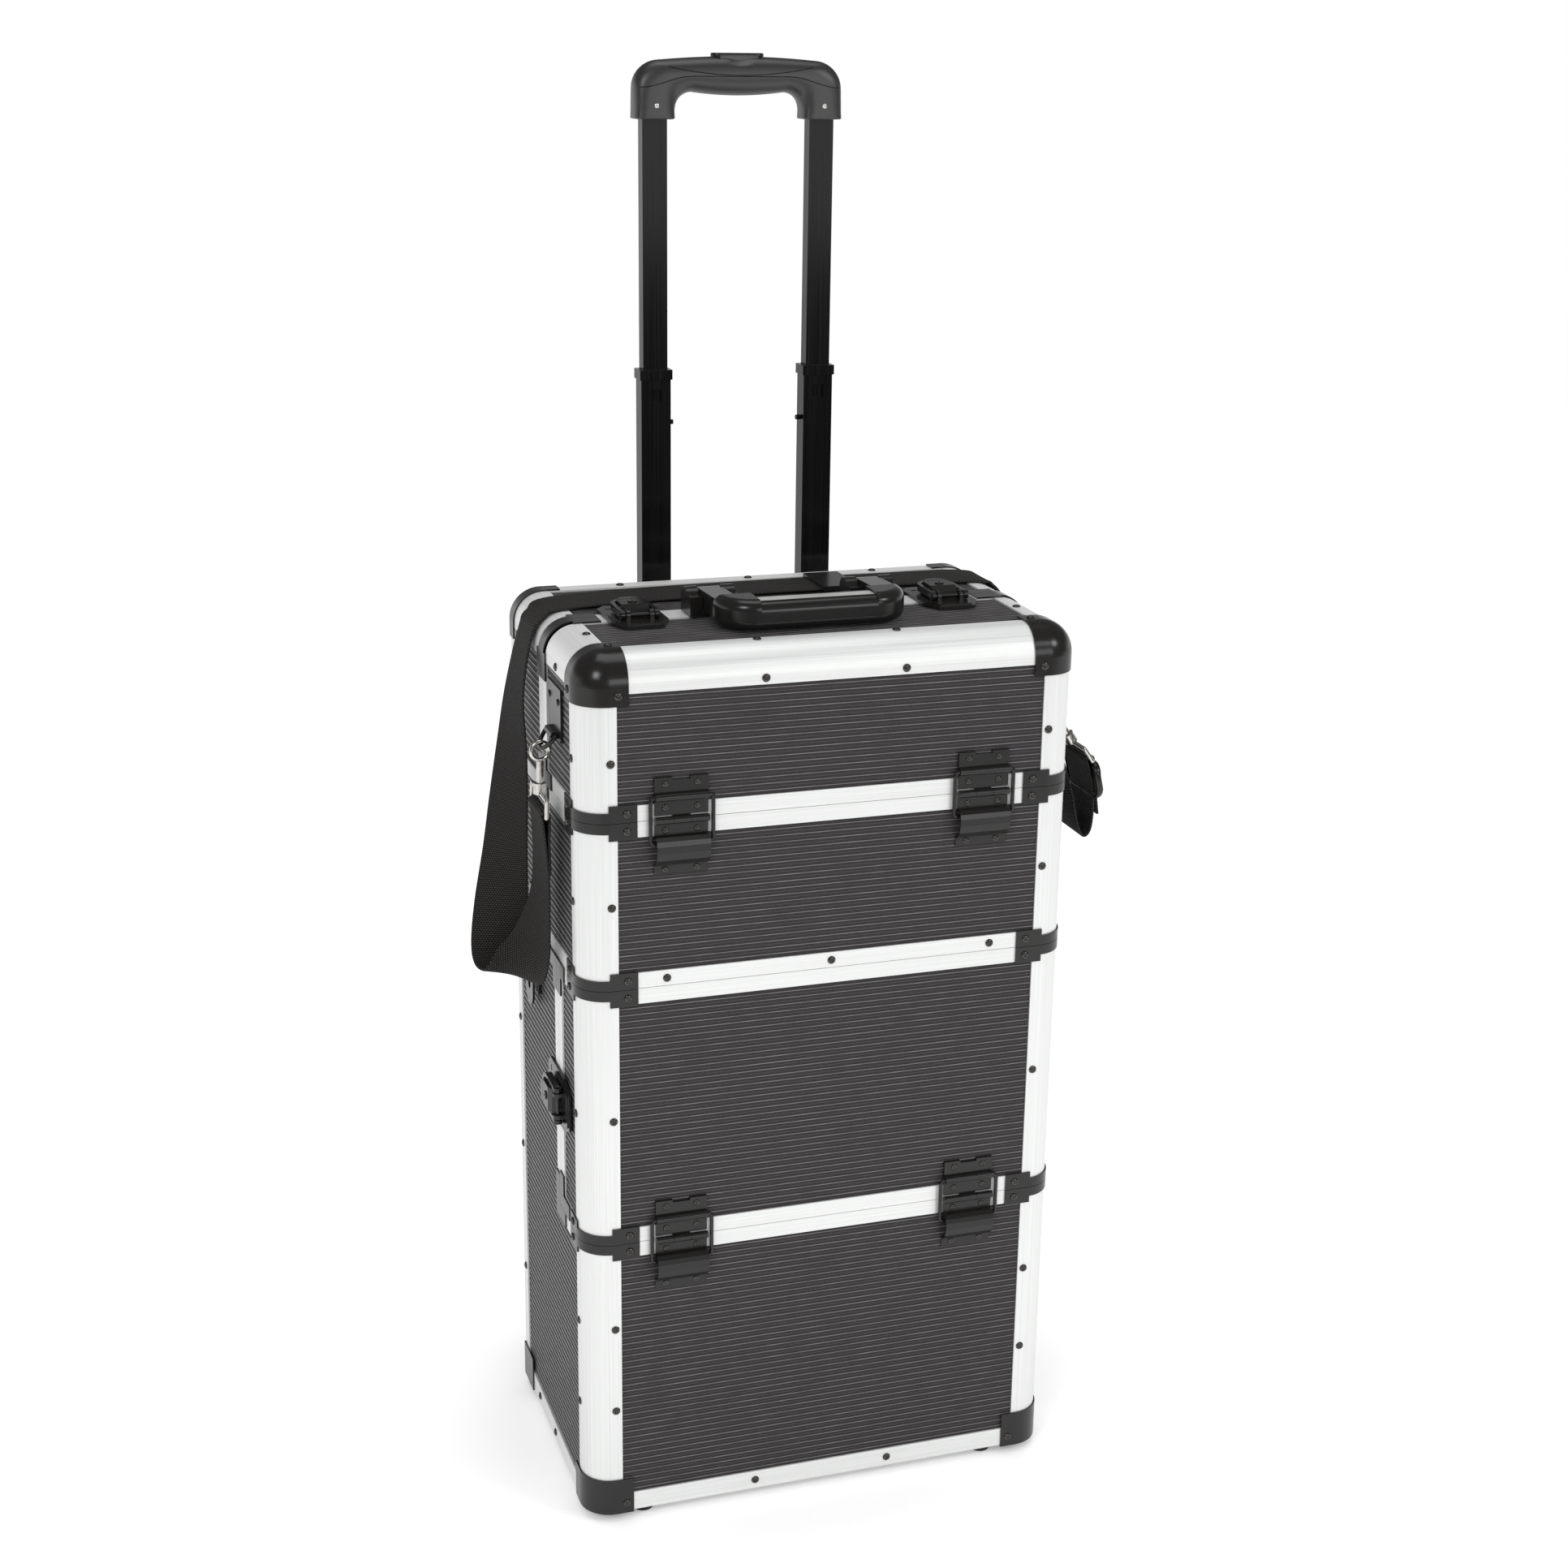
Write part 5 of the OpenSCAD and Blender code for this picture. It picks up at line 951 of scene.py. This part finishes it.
# %% Route of the strap
CLOSE = 0.5  # from the band to what it lies on
LIFT = STRAP_T / 2 + CLOSE
CORNER_R, CHORD = 24.0, 0.2929  # 1 - cos 45 degrees
IN = CORNER_R * CHORD
left_rows = [
    ((-12.6, 78, -56), (-0.05, 1, 0)), ((-14, 80, -90), (-0.15, 0.99, 0)),
    ((-20, 86, -124), (-0.5, 0.85, 0.1)), ((-29, 95, -146), (-0.85, 0.4, 0.25)),
    ((-36, 108, -153), (-0.93, -0.05, 0.3)), ((-38, 123, -143), (-0.93, 0.1, 0.25)),
    ((-33, 138, -108), (-0.85, 0.5, 0.1)), ((-26, 152, -68), (-0.65, 0.76, 0)),
    ((-20.7, 158, -24), (-0.5, 0.87, 0)), ((-16.3, 162, 19), (-0.32, 0.95, 0)),
    ((-13, 163, 63), (-0.1, 1, 0)), ((-4, 164, 107), (0, 1, 0)),
]
top_spots = [
    (-HALF + IN - 2, STRAP_Y - 19, TOP - IN + 2), (-HALF + 24, STRAP_Y - 15, TOP + LIFT),
    (-HALF / 2, STRAP_Y - 3, TOP + LIFT), (0, STRAP_Y, TOP + LIFT),
    (HALF / 2, STRAP_Y, TOP + LIFT), (HALF - 24, STRAP_Y - 4, TOP + LIFT),
    (HALF - IN + 2, STRAP_Y - 6, TOP - IN + 2),
]
right_spots = [
    (5, 174, 100), (11, 160, 64), (18, 132, 28), (23, 100, -2), (27, 82, -30),
    (31, 76.5, -54), (37, 76, -65), (43, 76, -58), (44, 76, -32),
]
BACKWARDS = (0, 1, 0)
rows = [((x - HALF, y, SEAM_LID + z), w) for (x, y, z), w in left_rows]
rows += [(spot, BACKWARDS) for spot in top_spots]
rows += [((x + HALF, y, SEAM_LID + z), BACKWARDS) for x, y, z in right_spots]
print("The strap's route has", len(rows), "points")

# %% [markdown]
# At both ends the webbing turns round the hook's bar and comes back over itself, where it is
# stitched. The tail lies flat against the strap, one thickness away.

# %% Turns round the hooks' bars
BAR_R, PLAY = 1.8, 0.35
NEAR, PARTED = 9, 12  # mm from the bar: the last free point, and where the layers part
TAIL_AT = (48, 34, 20, NEAR)


def around(bar, away, side):
    """Points of the webbing's turn round a bar: from the tail, over the bar, to the strap."""
    r = BAR_R + STRAP_T / 2 + PLAY
    down = away.normalized()
    level = Vector((-down.z, 0, down.x)) * side
    tail = [bar + down * d + level * (STRAP_T + CLOSE if d > PARTED else r) for d in TAIL_AT]
    turn = [bar - down * (r * math.sin(a)) + level * (r * math.cos(a))
            for a in np.linspace(0.0, math.pi, 7)]
    return tail + turn + [bar + down * NEAR - level * r * 0.5]


start = around(bar_l, Vector(rows[0][0]) - bar_l, 1)
end = around(bar_r, Vector(rows[-1][0]) - bar_r, 1)[::-1]
rows = [(p, BACKWARDS) for p in start] + rows + [(p, BACKWARDS) for p in end]
print("With both turns:", len(rows), "points")

# %% [markdown]
# A Catmull-Rom curve passes through every point. The width's direction is smoothed in the same way,
# and turned at right angles to the path. The path's length is the real length of the band.

# %% Smooth path
PATH_STEPS = 14


def smooth(values):
    """A smooth curve through the values."""
    out = []
    n = len(values)
    for i in range(n - 1):
        a, b, c, d = (values[max(0, i - 1)], values[i], values[i + 1], values[min(n - 1, i + 2)])
        for t in np.arange(PATH_STEPS) / PATH_STEPS:
            out.append(0.5 * (2 * b + (c - a) * t + (2 * a - 5 * b + 4 * c - d) * t * t
                              + (3 * b - a - 3 * c + d) * t ** 3))
    return np.array(out + [values[-1]])


def unit(vectors):
    """Each row of an array at length 1."""
    return vectors / np.linalg.norm(vectors, axis=1)[:, None]


path = smooth(np.array([list(p) for p, w in rows], float))
width = smooth(np.array([list(w) for p, w in rows], float))
ahead = unit(np.gradient(path, axis=0))
width = unit(width - ahead * (width * ahead).sum(1)[:, None])
face = np.cross(ahead, width)
dist = np.concatenate([[0], np.cumsum(np.linalg.norm(np.diff(path, axis=0), axis=1))])

# %% [markdown]
# The band's section has flat faces and round selvedges. It is swept along the path, and each corner
# gets a UV in metres along and across the band, which the woven finish reads.

# %% Webbing
half_w, half_t = STRAP_W / 2, STRAP_T / 2
EDGE_IN, FLAT_IN, FACE_IN = 0.4, 1.6, 4  # mm from the selvedge
EDGE_T, FACE_POINTS = 0.8, 9
upper = [(-half_w + EDGE_IN, half_t * EDGE_T), (-half_w + FLAT_IN, half_t)]
upper += [(x, half_t) for x in np.linspace(-half_w + FACE_IN, half_w - FACE_IN, FACE_POINTS)]
upper += [(half_w - FLAT_IN, half_t), (half_w - EDGE_IN, half_t * EDGE_T)]
section = [(-half_w, 0)] + upper + [(half_w, 0)] + [(x, -t) for x, t in upper[::-1]]
count, ring = len(path), len(section)
verts = [at(*(path[i] + width[i] * a + face[i] * b)) for i in range(count) for a, b in section]
faces = [(i * ring + j, i * ring + (j + 1) % ring, (i + 1) * ring + (j + 1) % ring,
          (i + 1) * ring + j) for i in range(count - 1) for j in range(ring)]
faces += [tuple(range(ring))[::-1], tuple((count - 1) * ring + j for j in range(ring))]
mesh = bpy.data.meshes.new("webbing")
mesh.from_pydata(verts, [], faces)
uv = mesh.uv_layers.new(name="weave")
for k, corner in enumerate(mesh.loops):
    i, j = divmod(corner.vertex_index, ring)
    uv.data[k].uv = (dist[i] / MM, section[j][0] / MM)
strap = new_piece("strap_webbing", mesh, webbing, True)
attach(strap, "lid")
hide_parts("shoulder_strap")
print("Webbing:", len(mesh.polygons), "faces")

# %% [markdown]
# ## Adjuster
# On the right the strap's end runs through a plastic ring, a flat frame with rounded corners. A
# bevelled curve could make it, but the tube function from the grip's lines does it at once: its
# points are four quarter ovals, and the tube closes on itself.

# %% Adjuster on the right end of the webbing
RING_LOW, RING_HIGH, RING_X = 561.0, 589.0, 244.5
SIDE_Y, SIDE_Z, TURN_Y, TURN_Z = 20.0, 6.0, 9.0, 8.0
SLOPE = (RING_HIGH - RING_LOW) * 0.05  # the ring leans with the webbing
RIM_WIDE, RIM_THIN, RIM_SIDES, TURN_STEPS = 3.2, 2.4, 10, 4
ring_mid = (RING_LOW + RING_HIGH) / 2
rim = []
for cy, cz, first in ((1, 1, 0), (-1, 1, 90), (-1, -1, 180), (1, -1, 270)):
    for k in range(TURN_STEPS + 1):
        a = math.radians(first + 90 / TURN_STEPS * k)
        rim.append(at(RING_X - SLOPE * cz, RING_Y + cy * SIDE_Y + TURN_Y * math.cos(a),
                      ring_mid + cz * SIDE_Z + TURN_Z * math.sin(a)))
adjuster = add_up("strap_adjuster", [
    tube(rim, RIM_WIDE, RIM_THIN, RIM_SIDES, lambda ahead: Vector((1, 0, 0)), closed=True)], plastic)
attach(adjuster, "lid")
print("The adjuster is", 2 * (SIDE_Y + TURN_Y), "mm wide")

# %% [markdown]
# ## Floor
# A product stands on white paper that burns out to pure white. An endless plane would throw too much
# light up at the case's front. So the paper ends in front of the case, and a faint glow that only
# the camera sees lifts its far end to white.

# %% Floor
FLOOR_FRONT, FLOOR_BACK, FLOOR_SIDE, FLOOR_GLOW = -2.1, 9.0, 7.0, 0.2
mesh = bpy.data.meshes.new("floor")
mesh.from_pydata([(-FLOOR_SIDE, FLOOR_FRONT, 0), (FLOOR_SIDE, FLOOR_FRONT, 0),
                  (FLOOR_SIDE, FLOOR_BACK, 0), (-FLOOR_SIDE, FLOOR_BACK, 0)], [], [(0, 1, 2, 3)])
floor_mat = shader("floor", (1.0, 1.0, 1.0), 0.9, shine=0.0)
ray = floor_mat.node_tree.nodes.new("ShaderNodeLightPath")
surface(floor_mat, "Emission Color", (1, 1, 1, 1))
surface(floor_mat, "Emission Strength",
        calc(floor_mat, "MULTIPLY", ray.outputs["Is Camera Ray"], FLOOR_GLOW))
floor = new_piece("floor", mesh, floor_mat)
print("The floor reaches", -FLOOR_FRONT, "m in front of the case")

# %% [markdown]
# ## World
# A white room all round would make the black parts grey. So three things are told apart: the camera
# sees plain white, matt surfaces get an even light, and reflections see white only low down and
# behind the case, and a dim room above and in front, as in a photographer's studio.

# %% World
ROOM, SKY = 0.14, 0.8
WALL_TOP, WALL_FADE, BEHIND = 0.26, 0.02, 0.2  # parts of a unit direction
world = bpy.data.worlds.new("world")
bpy.context.scene.world = world
world.use_nodes = True
coords = world.node_tree.nodes.new("ShaderNodeTexCoord")
split = add(world, "ShaderNodeSeparateXYZ", Vector=coords.outputs["Generated"])
low = add(world, "ShaderNodeMapRange", Value=split.outputs["Z"], From_Min=WALL_FADE,
          From_Max=WALL_TOP, To_Min=1.0, To_Max=0.0).outputs["Result"]
behind = add(world, "ShaderNodeMapRange", Value=split.outputs["Y"], From_Min=-BEHIND,
             From_Max=BEHIND, To_Min=0.0, To_Max=1.0).outputs["Result"]
bright = calc(world, "MULTIPLY", calc(world, "MULTIPLY", low, behind), 1.0 - ROOM)
studio = calc(world, "ADD", ROOM, bright)
ray = world.node_tree.nodes.new("ShaderNodeLightPath")
camera_ray = ray.outputs["Is Camera Ray"]
mirrored = calc(world, "MAXIMUM", ray.outputs["Is Glossy Ray"], ray.outputs["Is Transmission Ray"])
seen = calc(world, "MAXIMUM", camera_ray, calc(world, "MULTIPLY", mirrored, studio))
unseen = calc(world, "SUBTRACT", 1.0, calc(world, "MAXIMUM", camera_ray, mirrored))
background = world.node_tree.nodes["Background"]
feed(world, background.inputs["Color"], (1, 1, 1, 1))
feed(world, background.inputs["Strength"],
     calc(world, "ADD", seen, calc(world, "MULTIPLY", SKY, unseen)))
print("Reflections see a room of", ROOM, "and a wall of 1.0")

# %% [markdown]
# ## Lamps
# Four soft boxes: the key from the left makes the bright corner, the fill from the right evens the
# front, a low one in front gives tubes and grip their reflections, and one above lights the lid.
# Area lamps are used because their size sets how soft each highlight is.

# %% Lamps
AIM = Vector((0, 0, 0.5))


def lamp(name, where, size, watts):
    """A rectangular soft box that looks at the middle of the case."""
    data = bpy.data.lights.new(name, "AREA")
    data.shape = "RECTANGLE"
    data.size, data.size_y = size
    data.energy = watts
    obj = show(name, data)
    obj.location = where
    obj.rotation_euler = (AIM - Vector(where)).to_track_quat("-Z", "Y").to_euler()


lamp("key", (-1.7, -2.2, 2.3), (1.0, 1.0), 20)
lamp("fill", (1.9, -2.2, 2.3), (0.8, 0.8), 15)
lamp("front", (1.0, -3.4, 1.15), (1.5, 1.0), 13)
lamp("top", (0.1, 0.2, 3.0), (1.4, 1.4), 10)
print("Lamps:", ", ".join(data.name for data in bpy.data.lights))

# %% [markdown]
# ## Camera
# The camera could be moved by eye until the picture fits. Here its place, turn and lens were fitted
# to the straight edges of the case in the photograph, so that the case's corners fall where they
# do there. The view transform is Standard, because it leaves white as white.

# %% Camera
YAW, DIP, ROLL = 0.31862, -0.30381, 0.01345
CAMERA_AT = (-590.375, -1665.52, 1161.594)
FOCAL_PIXELS, PHOTO_PIXELS, SENSOR = 2987.88, 1932, 36
view_dir = Vector((math.sin(YAW) * math.cos(DIP), math.cos(YAW) * math.cos(DIP), math.sin(DIP)))
right = view_dir.cross(Vector((0, 0, 1))).normalized()
up = right.cross(view_dir)
right, up = (math.cos(ROLL) * right + math.sin(ROLL) * up,
             -math.sin(ROLL) * right + math.cos(ROLL) * up)
cam_data = bpy.data.cameras.new("camera")
cam_data.lens = FOCAL_PIXELS * SENSOR / PHOTO_PIXELS
cam_data.sensor_width = SENSOR
cam = show("camera", cam_data)
turn = Matrix((right, up, -view_dir)).transposed().to_4x4()
turn.translation = at(*CAMERA_AT)
cam.matrix_world = turn
bpy.context.scene.camera = cam
bpy.context.scene.view_settings.view_transform = "Standard"
print("The lens is", round(cam_data.lens, 1), "mm")
